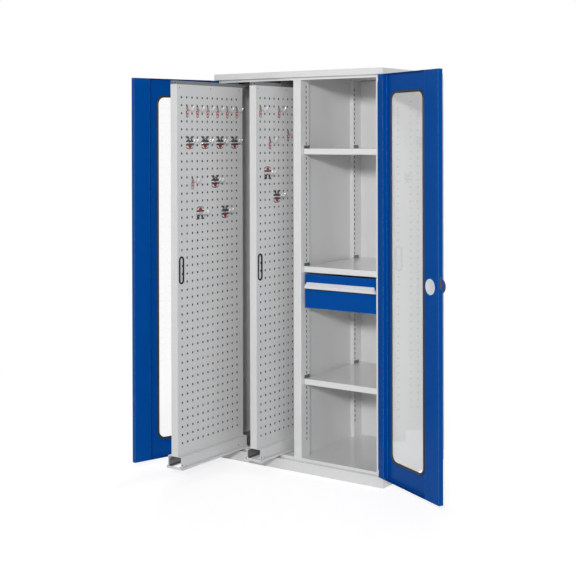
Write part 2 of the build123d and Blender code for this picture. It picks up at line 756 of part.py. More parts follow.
def make_hooks(name, centre, front, singles, doubles):
    """Steel hooks hung in the perforation and the plastic tabs that lock them."""
    face = centre + PANEL_THICKNESS / 2
    plate = face + HOOK_PLATE
    single_places = [hole_place(front, column, row) for column, row in singles]
    double_places = [hole_place(front, column + 0.5, row) for column, row in doubles]
    double_width = HOLE_SPACING + 2 * DOUBLE_MARGIN
    with BuildPart() as hooks:
        with BuildSketch(sideways(face)):
            half = SINGLE_PLATE_WIDTH / 2
            for y, z in single_places:
                with BuildLine():
                    Polyline(
                        (y - half, z - HOOK_WIRE_DROP),
                        (y, z + PLATE_RISE),
                        (y + half, z - HOOK_WIRE_DROP),
                        (y + half, z - PLATE_HEIGHT + half),
                        (y, z - PLATE_HEIGHT - PLATE_RISE),
                        (y - half, z - PLATE_HEIGHT + half),
                        close=True,
                    )
                make_face()
            for y, z in double_places:
                with Locations((y, z - PLATE_HEIGHT / 2 + PLATE_RISE)):
                    Rectangle(double_width, PLATE_HEIGHT)
        extrude(amount=HOOK_PLATE)
        with BuildSketch(sideways(face + HOOK_PLATE)):
            with Locations(*peg_places(front, singles, doubles)):
                Rectangle(PEG_SIZE, PEG_SIZE)
        extrude(amount=-PEG_LENGTH)
        for y, z in single_places:
            hook_wire(plate, y, z - HOOK_WIRE_DROP)
        for y, z in double_places:
            for shift in (-PRONG_SPACING / 2, PRONG_SPACING / 2):
                hook_wire(plate, y + shift, z - HOOK_WIRE_DROP)
    keep(hooks, f"{name}_hooks")

    with BuildPart() as hook_tabs:
        with BuildSketch(sideways(plate)):
            for y, z in single_places:
                with Locations((y, z - TAB_TOP - TAB_HEIGHT / 2)):
                    Rectangle(SINGLE_TAB_WIDTH, TAB_HEIGHT)
            for y, z in double_places:
                with Locations((y, z - TAB_TOP - TAB_HEIGHT / 2)):
                    Rectangle(double_width - 2 * DOUBLE_MARGIN, TAB_HEIGHT)
        extrude(amount=TAB_THICKNESS)
    keep(hook_tabs, f"{name}_hook_tabs")


def make_pullout(name, centre, extension, singles, doubles):
    """One pull-out panel with its carriage, guidance and hooks."""
    front = PULLOUT_CLOSED_FRONT - extension
    make_panel(name, centre, front, peg_places(front, singles, doubles))
    make_carriage(name, centre, front, extension)
    make_top_guidance(name, centre, front)
    make_hooks(name, centre, front, singles, doubles)


# ---------------------------------------------------------------- drawer
def make_drawer():
    """Drawer under the middle shelf, with its front, grip, box and telescopic slides."""
    left = PARTITION + DRAWER_SIDE_GAP
    right = WALL - DRAWER_SIDE_GAP
    front_back = DRAWER_FRONT_Y + DRAWER_FRONT_THICKNESS
    with BuildPart() as drawer_front:
        with BuildSketch(facing(DRAWER_FRONT_Y)):
            span(left, right, DRAWER_BOTTOM, DRAWER_TOP)
        extrude(amount=-DRAWER_FRONT_THICKNESS)
        chamfer(drawer_front.faces().sort_by(Axis.Y)[0].edges(), DRAWER_SHEET)
        with BuildSketch(facing(front_back)):
            wall = DRAWER_SHEET
            span(left + wall, right - wall, DRAWER_BOTTOM + wall, DRAWER_TOP - wall)
        extrude(amount=DRAWER_FRONT_THICKNESS - 2 * DRAWER_SHEET, mode=Mode.SUBTRACT)
    keep(drawer_front, "drawer_front")

    grip_top = DRAWER_TOP - GRIP_DROP
    grip_bottom = grip_top - GRIP_HEIGHT
    grip_front = DRAWER_FRONT_Y - GRIP_DEPTH
    with BuildPart() as drawer_grip:
        with BuildSketch(facing(DRAWER_FRONT_Y)):
            with BuildLine():
                Polyline(
                    (left + GRIP_BOTTOM_INSET, grip_bottom),
                    (right - GRIP_BOTTOM_INSET, grip_bottom),
                    (right - GRIP_TOP_INSET, grip_top),
                    (left + GRIP_TOP_INSET, grip_top),
                    close=True,
                )
            make_face()
        extrude(amount=GRIP_DEPTH)
        with BuildSketch(sideways(left)):
            with BuildLine():
                Polyline(
                    (grip_front, grip_bottom + GRIP_HEIGHT / 2),
                    (grip_front, grip_top),
                    (DRAWER_FRONT_Y - GRIP_SHEET, grip_top),
                    close=True,
                )
            make_face()
            with BuildLine():
                Polyline(
                    (grip_front + GRIP_SHEET, grip_bottom),
                    (DRAWER_FRONT_Y - GRIP_SHEET, grip_bottom),
                    (DRAWER_FRONT_Y - GRIP_SHEET, grip_top - 3 * GRIP_SHEET),
                    (grip_front + GRIP_SHEET, grip_bottom + GRIP_HEIGHT / 2),
                    close=True,
                )
            make_face()
        extrude(amount=right - left, mode=Mode.SUBTRACT)
    keep(drawer_grip, "drawer_grip")

    centre = (PARTITION + WALL) / 2
    half = (WALL - PARTITION) / 2
    box_half = half - SLIDE_PACK
    box_back = front_back + DRAWER_DEPTH
    box_bottom = DRAWER_BOTTOM + DRAWER_BOX_FLOOR
    with BuildPart() as drawer_box:
        with BuildSketch(Plane.XY.offset(box_bottom)):
            span(centre - box_half, centre + box_half, front_back, box_back)
        extrude(amount=DRAWER_TOP - DRAWER_BOX_DROP - box_bottom)
        with BuildSketch(Plane.XY.offset(box_bottom + DRAWER_SHEET)):
            inner = box_half - DRAWER_SHEET
            span(centre - inner, centre + inner, front_back + DRAWER_SHEET, box_back - DRAWER_SHEET)
        extrude(amount=DRAWER_FRONT_HEIGHT, mode=Mode.SUBTRACT)
    keep(drawer_box, "drawer_box")

    slide_z = DRAWER_BOTTOM + DRAWER_SLIDE_CENTRE
    slide_front = front_back + SLIDE_GAP
    length = BACK_FACE - TRACK_REAR_GAP - slide_front
    height = DRAWER_SLIDE_HEIGHT
    middle_web = half - 2 * SLIDE_SHEET
    with BuildPart() as fixed_slides:
        slide_pair(centre, half, half - DRAWER_FLANGE, height, slide_z, slide_front, length)
    keep(fixed_slides, "drawer_fixed_slides")
    with BuildPart() as middle_slides:
        slide_pair(
            centre,
            middle_web,
            middle_web - DRAWER_FLANGE,
            nested_height(height, 1),
            slide_z,
            slide_front,
            length,
        )
    keep(middle_slides, "drawer_middle_slides")
    with BuildPart() as moving_slides:
        slide_pair(
            centre,
            box_half,
            box_half + DRAWER_FLANGE,
            nested_height(height, 2),
            slide_z,
            slide_front,
            DRAWER_DEPTH - SLIDE_GAP,
        )
    keep(moving_slides, "drawer_moving_slides")


# ---------------------------------------------------------------- doors
def door_swing(side, angle):
    """Turn that opens a door by angle about its pivot; side is 1 right, -1 left."""
    pivot = Vector(side * PIVOT_X, PIVOT_Y, 0)
    return Location(pivot) * Location((0, 0, 0), (0, 0, side * angle)) * Location(-pivot)


def from_hinge(distance):
    """X of a line on the closed right door, measured from its hinge edge."""
    return HINGE_EDGE - distance


def from_edge(distance):
    """X of a line on the closed right door, measured from its free edge."""
    return FREE_EDGE + distance


def window_outline(inset, mode=Mode.ADD):
    """Rounded window outline on the current sketch, inset from the seal's outer edge."""
    x_high = from_hinge(WINDOW_FROM_HINGE + inset)
    x_low = from_edge(WINDOW_FROM_EDGE + inset)
    z_low = DOOR_BOTTOM + WINDOW_BOTTOM + inset
    z_high = DOOR_TOP - WINDOW_TOP - inset
    with Locations(((x_low + x_high) / 2, (z_low + z_high) / 2)):
        RectangleRounded(x_high - x_low, z_high - z_low, WINDOW_RADIUS - inset, mode=mode)


def latch_opening(x):
    """Slot for the latch in an upright wall of the closed right door that ends at x."""
    half = LATCH_THICKNESS / 2 + LATCH_FIT
    low = LOCK_HEIGHT - LATCH_DROP - LATCH_FIT
    with BuildSketch(sideways(x)) as slot:
        span(ROD_Y - half, ROD_Y + half, low, low + LATCH_HEIGHT + 2 * LATCH_FIT)
    extrude(slot.sketch, amount=DOOR_SHEET, mode=Mode.SUBTRACT)


def door_leaf(lock_side):
    """Closed leaf: folded tray with hinge box, pin seats and window, on the right side."""
    wall = DOOR_SHEET
    skin = DOOR_OUTSIDE + wall
    with BuildPart() as leaf:
        with BuildSketch(facing(DOOR_OUTSIDE)):
            span(FREE_EDGE, HINGE_EDGE, DOOR_BOTTOM, DOOR_TOP)
        extrude(amount=-DOOR_THICKNESS)
        hinge_corner = leaf.edges().filter_by(Axis.Z).sort_by(Axis.X)[-2:].sort_by(Axis.Y)[-1]
        chamfer(hinge_corner, HINGE_CHAMFER)
        chamfer(leaf.faces().sort_by(Axis.Y)[0].edges(), wall)
        with BuildSketch(facing(DOOR_INSIDE)):
            x_low = FREE_EDGE + wall
            span(x_low, from_hinge(HINGE_BOX), DOOR_BOTTOM + wall, DOOR_TOP - wall)
        extrude(amount=DOOR_INSIDE - skin, mode=Mode.SUBTRACT)
        with BuildSketch(Plane.XY.offset(DOOR_BOTTOM + wall)):
            with BuildLine():
                Polyline(
                    (from_hinge(HINGE_BOX - wall), skin),
                    (HINGE_EDGE - wall, skin),
                    (HINGE_EDGE - wall, DOOR_INSIDE - HINGE_CHAMFER - wall / 2),
                    (HINGE_EDGE - HINGE_CHAMFER - wall / 2, DOOR_INSIDE - wall),
                    (from_hinge(HINGE_BOX - wall), DOOR_INSIDE - wall),
                    close=True,
                )
            make_face()
        extrude(amount=DOOR_TOP - DOOR_BOTTOM - 2 * wall, mode=Mode.SUBTRACT)
        with BuildSketch(facing(DOOR_INSIDE)):
            for low in (DOOR_BOTTOM + wall, DOOR_TOP - wall - HINGE_NOTCH):
                span(HINGE_EDGE - HINGE_NOTCH_WIDTH, HINGE_EDGE, low, low + HINGE_NOTCH)
        extrude(amount=HINGE_CHAMFER + wall, mode=Mode.SUBTRACT)
        with BuildSketch(facing(DOOR_OUTSIDE)):
            window_outline(SEAL_GRIP)
            if lock_side:
                with Locations((from_edge(LOCK_FROM_EDGE), LOCK_HEIGHT)):
                    Circle(KNOB_SHAFT_RADIUS + PIN_FIT)
        extrude(amount=-wall, mode=Mode.SUBTRACT)
        with BuildSketch(Plane.XY.offset(DOOR_BOTTOM)):
            with Locations((PIVOT_X, PIVOT_Y)):
                Circle(PIN_RADIUS + PIN_FIT)
            if lock_side:
                with Locations((ROD_X, ROD_Y)):
                    Circle(ROD_RADIUS + ROD_FIT)
        extrude(amount=DOOR_TOP - DOOR_BOTTOM, mode=Mode.SUBTRACT)
        if lock_side:
            latch_opening(FREE_EDGE)
    return leaf


def door_stiffener(width, lock_side):
    """Upright channel along the free edge of the closed leaf, open towards the skin."""
    wall = DOOR_SHEET
    skin = DOOR_OUTSIDE + wall
    x_high = from_edge(width)
    x_low = FREE_EDGE + wall
    with BuildPart() as stiffener:
        with BuildSketch(Plane.XY.offset(DOOR_BOTTOM + wall)):
            with BuildLine():
                Polyline(
                    (x_low, skin), (x_low, DOOR_INSIDE), (x_high, DOOR_INSIDE), (x_high, skin)
                )
                offset(amount=wall, side=Side.RIGHT, kind=Kind.INTERSECTION)
            make_face()
        extrude(amount=DOOR_TOP - DOOR_BOTTOM - 2 * wall)
        if lock_side:
            latch_opening(x_low)
    return stiffener


def door_seal():
    """Window seal: rubber bead with a groove for the sheet, closed round the pane."""
    outside = DOOR_OUTSIDE - SEAL_LIP
    inside = DOOR_OUTSIDE + DOOR_SHEET + SEAL_BEAD
    with BuildPart() as seal:
        with BuildSketch(facing(outside)):
            window_outline(0)
        extrude(amount=outside - inside)
        chamfer(seal.faces().sort_by(Axis.Y)[-1].edges(), SEAL_SLOPE)
        with BuildSketch(facing(outside)):
            window_outline(SEAL_WIDTH)
        extrude(amount=outside - inside, mode=Mode.SUBTRACT)
        with BuildSketch(facing(DOOR_OUTSIDE)):
            window_outline(-SEAL_LIP)
            window_outline(SEAL_GRIP, mode=Mode.SUBTRACT)
        extrude(amount=-DOOR_SHEET, mode=Mode.SUBTRACT)
    return seal


def door_pane():
    """Window pane held by the seal."""
    with BuildPart() as pane:
        with BuildSketch(facing(DOOR_OUTSIDE)):
            window_outline(SEAL_WIDTH)
        extrude(amount=-PANE_THICKNESS)
    return pane


def mirrored(piece):
    """The same piece on the other side of the cabinet."""
    with BuildPart() as other:
        mirror(piece.part, about=Plane.YZ)
    return other


def make_doors():
    """Both leaves with stiffeners, seals and panes, opened about their pivots."""
    left = door_swing(-1, LEFT_DOOR_ANGLE)
    keep(mirrored(door_leaf(False)), "left_door_leaf", left)
    stiffener = door_stiffener(LEFT_BOX_WIDTH, False)
    keep(mirrored(stiffener), "left_door_stiffener", left)
    keep(mirrored(door_seal()), "left_door_seal", left)
    keep(mirrored(door_pane()), "left_door_pane", left)

    right = door_swing(1, RIGHT_DOOR_ANGLE)
    keep(door_leaf(True), "right_door_leaf", right)
    stiffener = door_stiffener(RIGHT_BOX_WIDTH, True)
    keep(stiffener, "right_door_stiffener", right)
    keep(door_seal(), "right_door_seal", right)
    keep(door_pane(), "right_door_pane", right)


def make_hinge_pins():
    """Four pivot pins with bearing collars, on the plinth and under the cover's lip."""
    with BuildPart() as hinge_pins:
        for x in (-PIVOT_X, PIVOT_X):
            for seat, door_end in ((PLINTH_HEIGHT, DOOR_BOTTOM), (COVER_BOTTOM, DOOR_TOP)):
                up = 1 if door_end > seat else -1
                with BuildSketch(Plane.XY.offset(seat)):
                    with Locations((x, PIVOT_Y)):
                        RegularPolygon(COLLAR_RADIUS, COLLAR_SIDES)
                extrude(amount=up * DOOR_END_GAP)
                with BuildSketch(Plane.XY.offset(door_end)):
                    with Locations((x, PIVOT_Y)):
                        Circle(PIN_RADIUS)
                extrude(amount=up * PIN_ENGAGEMENT)
    keep(hinge_pins, "hinge_pins")


def make_lock():
    """Lock of the right door: case, rosette, turning knob and two bolt rods."""
    swing = door_swing(1, RIGHT_DOOR_ANGLE)
    lock_x = from_edge(LOCK_FROM_EDGE)
    case_front = DOOR_OUTSIDE + DOOR_SHEET
    case_depth = DOOR_THICKNESS - 2 * DOOR_SHEET
    case_low = FREE_EDGE + 2 * DOOR_SHEET + LATCH_FIT
    latch_low = LOCK_HEIGHT - LATCH_DROP
    with BuildPart() as lock_case:
        with BuildSketch(facing(case_front)):
            half = LOCK_CASE_HEIGHT / 2
            span(case_low, case_low + LOCK_CASE_WIDTH, LOCK_HEIGHT - half, LOCK_HEIGHT + half)
        extrude(amount=-case_depth)
        with BuildSketch(facing(ROD_Y + LATCH_THICKNESS / 2)):
            span(FREE_EDGE + LATCH_RECESS, case_low, latch_low, latch_low + LATCH_HEIGHT)
        extrude(amount=LATCH_THICKNESS)
        with BuildSketch(facing(case_front)):
            with Locations((lock_x, LOCK_HEIGHT)):
                Circle(KNOB_SHAFT_RADIUS + PIN_FIT)
        extrude(amount=-KNOB_SHAFT_LENGTH, mode=Mode.SUBTRACT)
    keep(lock_case, "lock_case", swing)

    with BuildPart() as lock_rosette:
        with BuildSketch(facing(DOOR_INSIDE)):
            with Locations((lock_x, LOCK_HEIGHT)):
                Circle(ROSETTE_RADIUS)
        extrude(amount=-ROSETTE_THICKNESS)
    keep(lock_rosette, "lock_rosette", swing)

    shaft_end = KNOB_GAP + DOOR_SHEET + KNOB_SHAFT_LENGTH / 2
    front_radius = KNOB_RADIUS - KNOB_CHAMFER
    with BuildPart() as lock_knob:
        with BuildSketch(Plane(origin=(lock_x, DOOR_OUTSIDE - KNOB_GAP, LOCK_HEIGHT))):
            with BuildLine():
                Polyline(
                    (0, shaft_end),
                    (KNOB_SHAFT_RADIUS, shaft_end),
                    (KNOB_SHAFT_RADIUS, 0),
                    (KNOB_BACK_RADIUS, 0),
                    (KNOB_RADIUS, KNOB_CHAMFER - KNOB_DEPTH),
                    (front_radius, -KNOB_DEPTH),
                    (0, -KNOB_DEPTH),
                    close=True,
                )
            make_face()
        axis = Axis((lock_x, DOOR_OUTSIDE, LOCK_HEIGHT), (0, 1, 0))
        revolve(axis=axis)
    keep(lock_knob, "lock_knob", swing)

    case_top = LOCK_HEIGHT + LOCK_CASE_HEIGHT / 2 + ROD_SEAT
    case_bottom = LOCK_HEIGHT - LOCK_CASE_HEIGHT / 2 - ROD_SEAT
    ends = {
        "upper_lock_rod": (case_top, DOOR_TOP - ROD_HEADROOM),
        "lower_lock_rod": (case_bottom, DOOR_BOTTOM + ROD_HEADROOM),
    }
    for name, (start, end) in ends.items():
        with BuildPart() as rod:
            with BuildSketch(Plane.XY.offset(start)):
                with Locations((ROD_X, ROD_Y)):
                    Circle(ROD_RADIUS)
            extrude(amount=end - start)
        keep(rod, name, swing)


def main():
    """Build and write every piece."""
    os.makedirs("parts", exist_ok=True)
    make_plinth()
    make_floor_panel()
    make_side_panels()
    make_back_panel()
    make_top_cover()
    make_ceiling_panel()
    make_partition()
    make_wall_posts()
    for name in SHELF_SLOTS:
        make_shelf(name)
    make_shelf_clips()
    make_drawer()
    make_pullout("left", LEFT_PULLOUT_X, LEFT_EXTENSION, LEFT_SINGLE_HOOKS, LEFT_DOUBLE_HOOKS)
    make_pullout("right", RIGHT_PULLOUT_X, RIGHT_EXTENSION, RIGHT_SINGLE_HOOKS, RIGHT_DOUBLE_HOOKS)
    make_doors()
    make_hinge_pins()
    make_lock()


main()
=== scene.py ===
import json
import math

import bmesh
import bpy
from mathutils import Matrix, Vector


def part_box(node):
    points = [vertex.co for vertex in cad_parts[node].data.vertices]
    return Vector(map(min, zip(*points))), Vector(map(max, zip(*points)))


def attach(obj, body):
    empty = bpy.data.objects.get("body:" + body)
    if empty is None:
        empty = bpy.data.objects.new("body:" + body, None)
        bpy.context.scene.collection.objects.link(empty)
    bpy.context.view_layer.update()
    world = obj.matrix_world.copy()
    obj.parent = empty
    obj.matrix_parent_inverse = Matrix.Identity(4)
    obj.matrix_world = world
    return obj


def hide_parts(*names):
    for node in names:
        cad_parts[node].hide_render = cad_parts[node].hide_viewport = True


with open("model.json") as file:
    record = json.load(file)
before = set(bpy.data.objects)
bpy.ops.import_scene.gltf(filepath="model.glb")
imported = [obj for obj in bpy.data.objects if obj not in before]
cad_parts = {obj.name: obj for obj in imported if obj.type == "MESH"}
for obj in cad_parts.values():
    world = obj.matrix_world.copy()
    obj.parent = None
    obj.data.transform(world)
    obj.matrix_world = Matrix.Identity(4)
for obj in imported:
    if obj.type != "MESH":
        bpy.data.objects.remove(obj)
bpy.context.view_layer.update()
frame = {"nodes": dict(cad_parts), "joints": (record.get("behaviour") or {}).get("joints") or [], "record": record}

MM = 0.001
QUARTER = 90
HALF_TURN = 180

# ---------------------------------------------------------------- camera
# Fitted to the photograph: lengths in pixels of the picture, then place and directions.
IMAGE = 576.0
FOCAL = 1159.64
CENTRE_X = 313.72
CENTRE_Y = 145.08
SENSOR = 36.0
CLIP_END = 60.0
CAMERA_PLACE = Vector((3.2594, -4.9043, 1.6129))
CAMERA_RIGHT = Vector((0.825884797, 0.563834124, -0.00232012909))
CAMERA_DOWN = Vector((0.000355329367, -0.00463534403, -0.999989194))
CAMERA_AHEAD = Vector((-0.563838785, 0.825875048, -0.00402860698))


def make_camera():
    """Camera of the photograph, with its lens shift."""
    data = bpy.data.cameras.new("camera")
    data.sensor_fit = "HORIZONTAL"
    data.sensor_width = SENSOR
    data.lens = FOCAL / IMAGE * SENSOR
    data.shift_x = (IMAGE / 2 - CENTRE_X) / IMAGE
    data.shift_y = (CENTRE_Y - IMAGE / 2) / IMAGE
    data.clip_end = CLIP_END
    camera = bpy.data.objects.new("camera", data)
    turn = Matrix((CAMERA_RIGHT, -CAMERA_DOWN, -CAMERA_AHEAD)).transposed()
    camera.matrix_world = Matrix.Translation(CAMERA_PLACE) @ turn.to_4x4()
    bpy.context.scene.collection.objects.link(camera)
    bpy.context.scene.camera = camera


# ---------------------------------------------------------------- shader nodes
WHITE = (1.0, 1.0, 1.0)
BLACK = (0.0, 0.0, 0.0)
WHOLE = (0.0, 1.0)
NOISE_MIDDLE = (0.3, 0.7)


def value_noise(nodes, links, scale, detail, stretch=(1, 1, 1)):
    """Noise fixed to the object, so that it keeps its size on every piece."""
    coords = nodes.new("ShaderNodeTexCoord")
    mapping = nodes.new("ShaderNodeMapping")
    mapping.inputs["Scale"].default_value = stretch
    noise = nodes.new("ShaderNodeTexNoise")
    noise.inputs["Scale"].default_value = scale
    noise.inputs["Detail"].default_value = detail
    links.new(coords.outputs["Object"], mapping.inputs["Vector"])
    links.new(mapping.outputs["Vector"], noise.inputs["Vector"])
    return noise.outputs["Fac"]


def ranged(nodes, links, source, low, high, span=NOISE_MIDDLE):
    """Source carried from the span to low and high, and held at both ends."""
    step = nodes.new("ShaderNodeMapRange")
    step.inputs["From Min"].default_value, step.inputs["From Max"].default_value = span
    step.inputs["To Min"].default_value = low
    step.inputs["To Max"].default_value = high
    links.new(source, step.inputs["Value"])
    return step.outputs[0]


def combined(nodes, links, operation, first, second):
    """One arithmetic step on two sockets."""
    step = nodes.new("ShaderNodeMath")
    step.operation = operation
    links.new(first, step.inputs[0])
    links.new(second, step.inputs[1])
    return step.outputs[0]


def blended(nodes, links, factor, first, second):
    """Colour between first and second, each of them a colour or a socket."""
    mix = nodes.new("ShaderNodeMix")
    mix.data_type = "RGBA"
    links.new(factor, mix.inputs["Factor"])
    for socket, colour in (("A", first), ("B", second)):
        target = next(s for s in mix.inputs if s.name == socket and s.type == "RGBA")
        if isinstance(colour, tuple):
            target.default_value = (*colour, 1)
        else:
            links.new(colour, target)
    return next(s for s in mix.outputs if s.type == "RGBA")


def shaded(colour, factor):
    """Colour made lighter or darker by the factor."""
    return tuple(min(1.0, part * factor) for part in colour)


# ---------------------------------------------------------------- light and floor
AMBIENT = 0.36
KEY_PLACE = (3.9, -6.9, 2.95)
KEY_SIZE = (0.6, 0.6)
KEY_ENERGY = 290.0
REAR_PLACE = (-3.0, 6.0, 3.5)
REAR_SIZE = (3.0, 3.0)
REAR_ENERGY = 150.0
LAMP_AIM = (0.0, 0.0, 0.9)
FLOOR_HALF = 14.0
FLOOR_LIT = (0.93, 0.93, 0.93)
FLOOR_ROUGHNESS = 0.9
FLOOR_GLOW = 0.74
FLOOR_SEEN = (0.46, 0.46, 0.46)
FLOOR_FADE = (1.3, 3.2)


def area_lamp(name, place, target, size, energy):
    """Rectangular lamp that points at the target."""
    data = bpy.data.lights.new(name, "AREA")
    data.shape = "RECTANGLE"
    data.size, data.size_y = size
    data.energy = energy
    lamp = bpy.data.objects.new(name, data)
    lamp.location = place
    lamp.rotation_euler = (Vector(target) - Vector(place)).to_track_quat("-Z", "Y").to_euler()
    bpy.context.scene.collection.objects.link(lamp)


def make_lights():
    """Key light from the front right, as the shelf shadows show, and a soft one behind."""
    area_lamp("key", KEY_PLACE, LAMP_AIM, KEY_SIZE, KEY_ENERGY)
    area_lamp("rear", REAR_PLACE, LAMP_AIM, REAR_SIZE, REAR_ENERGY)


def seen_directly(nodes, links):
    """1 for camera, mirror and glass rays, 0 for the rays that light the object."""
    path = nodes.new("ShaderNodeLightPath").outputs
    first = combined(nodes, links, "MAXIMUM", path["Is Camera Ray"], path["Is Glossy Ray"])
    return combined(nodes, links, "MAXIMUM", first, path["Is Transmission Ray"])


def make_world():
    """Even pale light round the object, behind it plain white."""
    world = bpy.data.worlds.new("studio")
    world.use_nodes = True
    nodes, links = world.node_tree.nodes, world.node_tree.links
    back = nodes["Background"]
    back.inputs["Color"].default_value = (*WHITE, 1)
    links.new(ranged(nodes, links, seen_directly(nodes, links), AMBIENT, 1.0, WHOLE),
              back.inputs["Strength"])
    bpy.context.scene.world = world


def distance_ramp(nodes, links):
    """0 round the object, 1 well away from it."""
    coords = nodes.new("ShaderNodeTexCoord")
    reach = nodes.new("ShaderNodeVectorMath")
    reach.operation = "LENGTH"
    links.new(coords.outputs["Object"], reach.inputs[0])
    ramp = ranged(nodes, links, reach.outputs["Value"], *WHOLE, FLOOR_FADE)
    ramp.node.interpolation_type = "SMOOTHSTEP"
    return ramp


def make_floor():
    """Pale floor that keeps the shadow and fades to white away from the object."""
    mesh = bpy.data.meshes.new("floor")
    bm = bmesh.new()
    bmesh.ops.create_grid(bm, x_segments=1, y_segments=1, size=FLOOR_HALF)
    bm.to_mesh(mesh)
    bm.free()
    floor = bpy.data.objects.new("floor", mesh)
    bpy.context.scene.collection.objects.link(floor)
    mesh.materials.append(floor_look())


def floor_look():
    """Floor as the camera sees it, part paint and part glow, and as it lights the object."""
    mat = bpy.data.materials.new("pale_floor")
    mat.use_nodes = True
    nodes, links = mat.node_tree.nodes, mat.node_tree.links
    shader = nodes["Principled BSDF"].inputs
    seen = seen_directly(nodes, links)
    far = distance_ramp(nodes, links)
    near_look = blended(nodes, links, far, FLOOR_SEEN, BLACK)
    links.new(blended(nodes, links, seen, FLOOR_LIT, near_look), shader["Base Color"])
    shader["Roughness"].default_value = FLOOR_ROUGHNESS
    shader["Specular IOR Level"].default_value = 0.0
    shader["Emission Color"].default_value = (*WHITE, 1)
    glow = ranged(nodes, links, far, FLOOR_GLOW, 1.0, WHOLE)
    links.new(combined(nodes, links, "MULTIPLY", seen, glow), shader["Emission Strength"])
    return mat


# ---------------------------------------------------------------- materials
# Each noise is a scale and a detail. EDGE_SPAN is the dot of the rounded and the flat normal.
CLOUD_NOISE = (5.0, 4.0)
PATCH_NOISE = (23.0, 3.0)
# This noise and its share below break the painted edge highlight into patches.
EDGE_HIGHLIGHT_NOISE = (60.0, 3.0)
PANE_NOISE = (9.0, 3.0)
GRAIN_DETAIL = 2.0
GRAIN_DEPTH = 0.3 * MM
BEVEL_SAMPLES = 4
EDGE_SPAN = (0.995, 0.80)
EDGE_HIGHLIGHT_SHARE = (0.2, 0.8)
PANE_IOR = 1.45
PANE_ROUGHNESS = (0.0, 0.03)
BODY_GREY = (0.78, 0.785, 0.78)
PANEL_GREY = (0.74, 0.745, 0.74)
DOOR_BLUE = (0.0, 0.072, 0.345)
BLUE_GLOSS = 0.04
GRIP_WHITE = (0.76, 0.765, 0.78)
LOOKS = {
    "body_grey": dict(colour=BODY_GREY, roughness=0.3, specular=0.5, variation=0.012,
                      spread=0.02, relief=0.06, coat=0.7, edge=(0.8, 0.8, 0.8)),
    # The door's edge colour is a strong painted highlight, for the light lines along its bends.
    "door_blue": dict(colour=DOOR_BLUE, roughness=0.24, specular=BLUE_GLOSS, variation=0.02,
                      spread=0.02, relief=0.08, rounding=3.2, edge=(0.16, 0.36, 0.8)),
    "panel_grey": dict(colour=PANEL_GREY, roughness=0.42, specular=0.35, spread=0.02,
                       variation=0.012, relief=0.06, edge=(0.76, 0.76, 0.76)),
    "grip_white": dict(colour=GRIP_WHITE, roughness=0.32, specular=0.5, variation=0.02,
                       grain=260.0, stretch=(0.02, 1, 1)),
    "seal_black": dict(colour=(0.022, 0.017, 0.015), roughness=0.55, variation=0.2, grain=500.0,
                       relief=0.15),
    "slide_steel": dict(colour=(0.72, 0.73, 0.75), roughness=0.34, metallic=0.7, grain=300.0,
                        stretch=(1, 0.03, 1), relief=0.1),
    "track_dark": dict(colour=(0.2, 0.205, 0.21), roughness=0.38, metallic=0.4, grain=300.0,
                       stretch=(1, 0.03, 1), relief=0.1),
    "guide_grey": dict(colour=(0.16, 0.165, 0.17), roughness=0.42, metallic=0.3),
    "clip_dark": dict(colour=(0.22, 0.225, 0.23), roughness=0.38, metallic=0.5, variation=0.2),
    "handle_black": dict(colour=(0.008, 0.008, 0.009), roughness=0.42, specular=0.25,
                         grain=1600.0, relief=0.2),
    "runner_dark": dict(colour=(0.22, 0.225, 0.235), roughness=0.45, grain=1400.0),
    # The hooks' chrome comes in a lit and a shaded copy: the prong steel whitened as a painted highlight, the wire
    # darkened as painted dark reflections.
    "hook_steel": dict(colour=(0.86, 0.87, 0.88), roughness=0.22, metallic=0.85, rounding=0.3),
    "hook_wire_shaded": dict(colour=(0.2, 0.2, 0.205), roughness=0.25, metallic=0.9, rounding=0.3),
    "hook_plate": dict(colour=(0.13, 0.13, 0.132), roughness=0.3, metallic=0.6, variation=0.25,
                       rounding=0.4),
    "label_white": dict(colour=(0.74, 0.74, 0.73), roughness=0.4, rounding=0.3),
    "tab_red": dict(colour=(0.52, 0.018, 0.03), roughness=0.3, variation=0.12, rounding=0.4),
    "pin_steel": dict(colour=(0.5, 0.5, 0.52), roughness=0.3, metallic=1.0, grain=400.0,
                      stretch=(1, 1, 0.05)),
    "lock_steel": dict(colour=(0.1, 0.085, 0.09), roughness=0.36, metallic=0.7, grain=350.0,
                       stretch=(1, 1, 0.05), variation=0.15),
    "rosette": dict(colour=(0.76, 0.78, 0.82), roughness=0.55, specular=0.3, variation=0.02),
    # The hollow look is flat black for painted shade inside holes, slots and gaps.
    "hollow": dict(colour=(0.012, 0.012, 0.012), roughness=0.9, specular=0.05, variation=0.1),
    "knob": dict(colour=(0.012, 0.035, 0.085), roughness=0.3, grain=1500.0, relief=0.1),
}


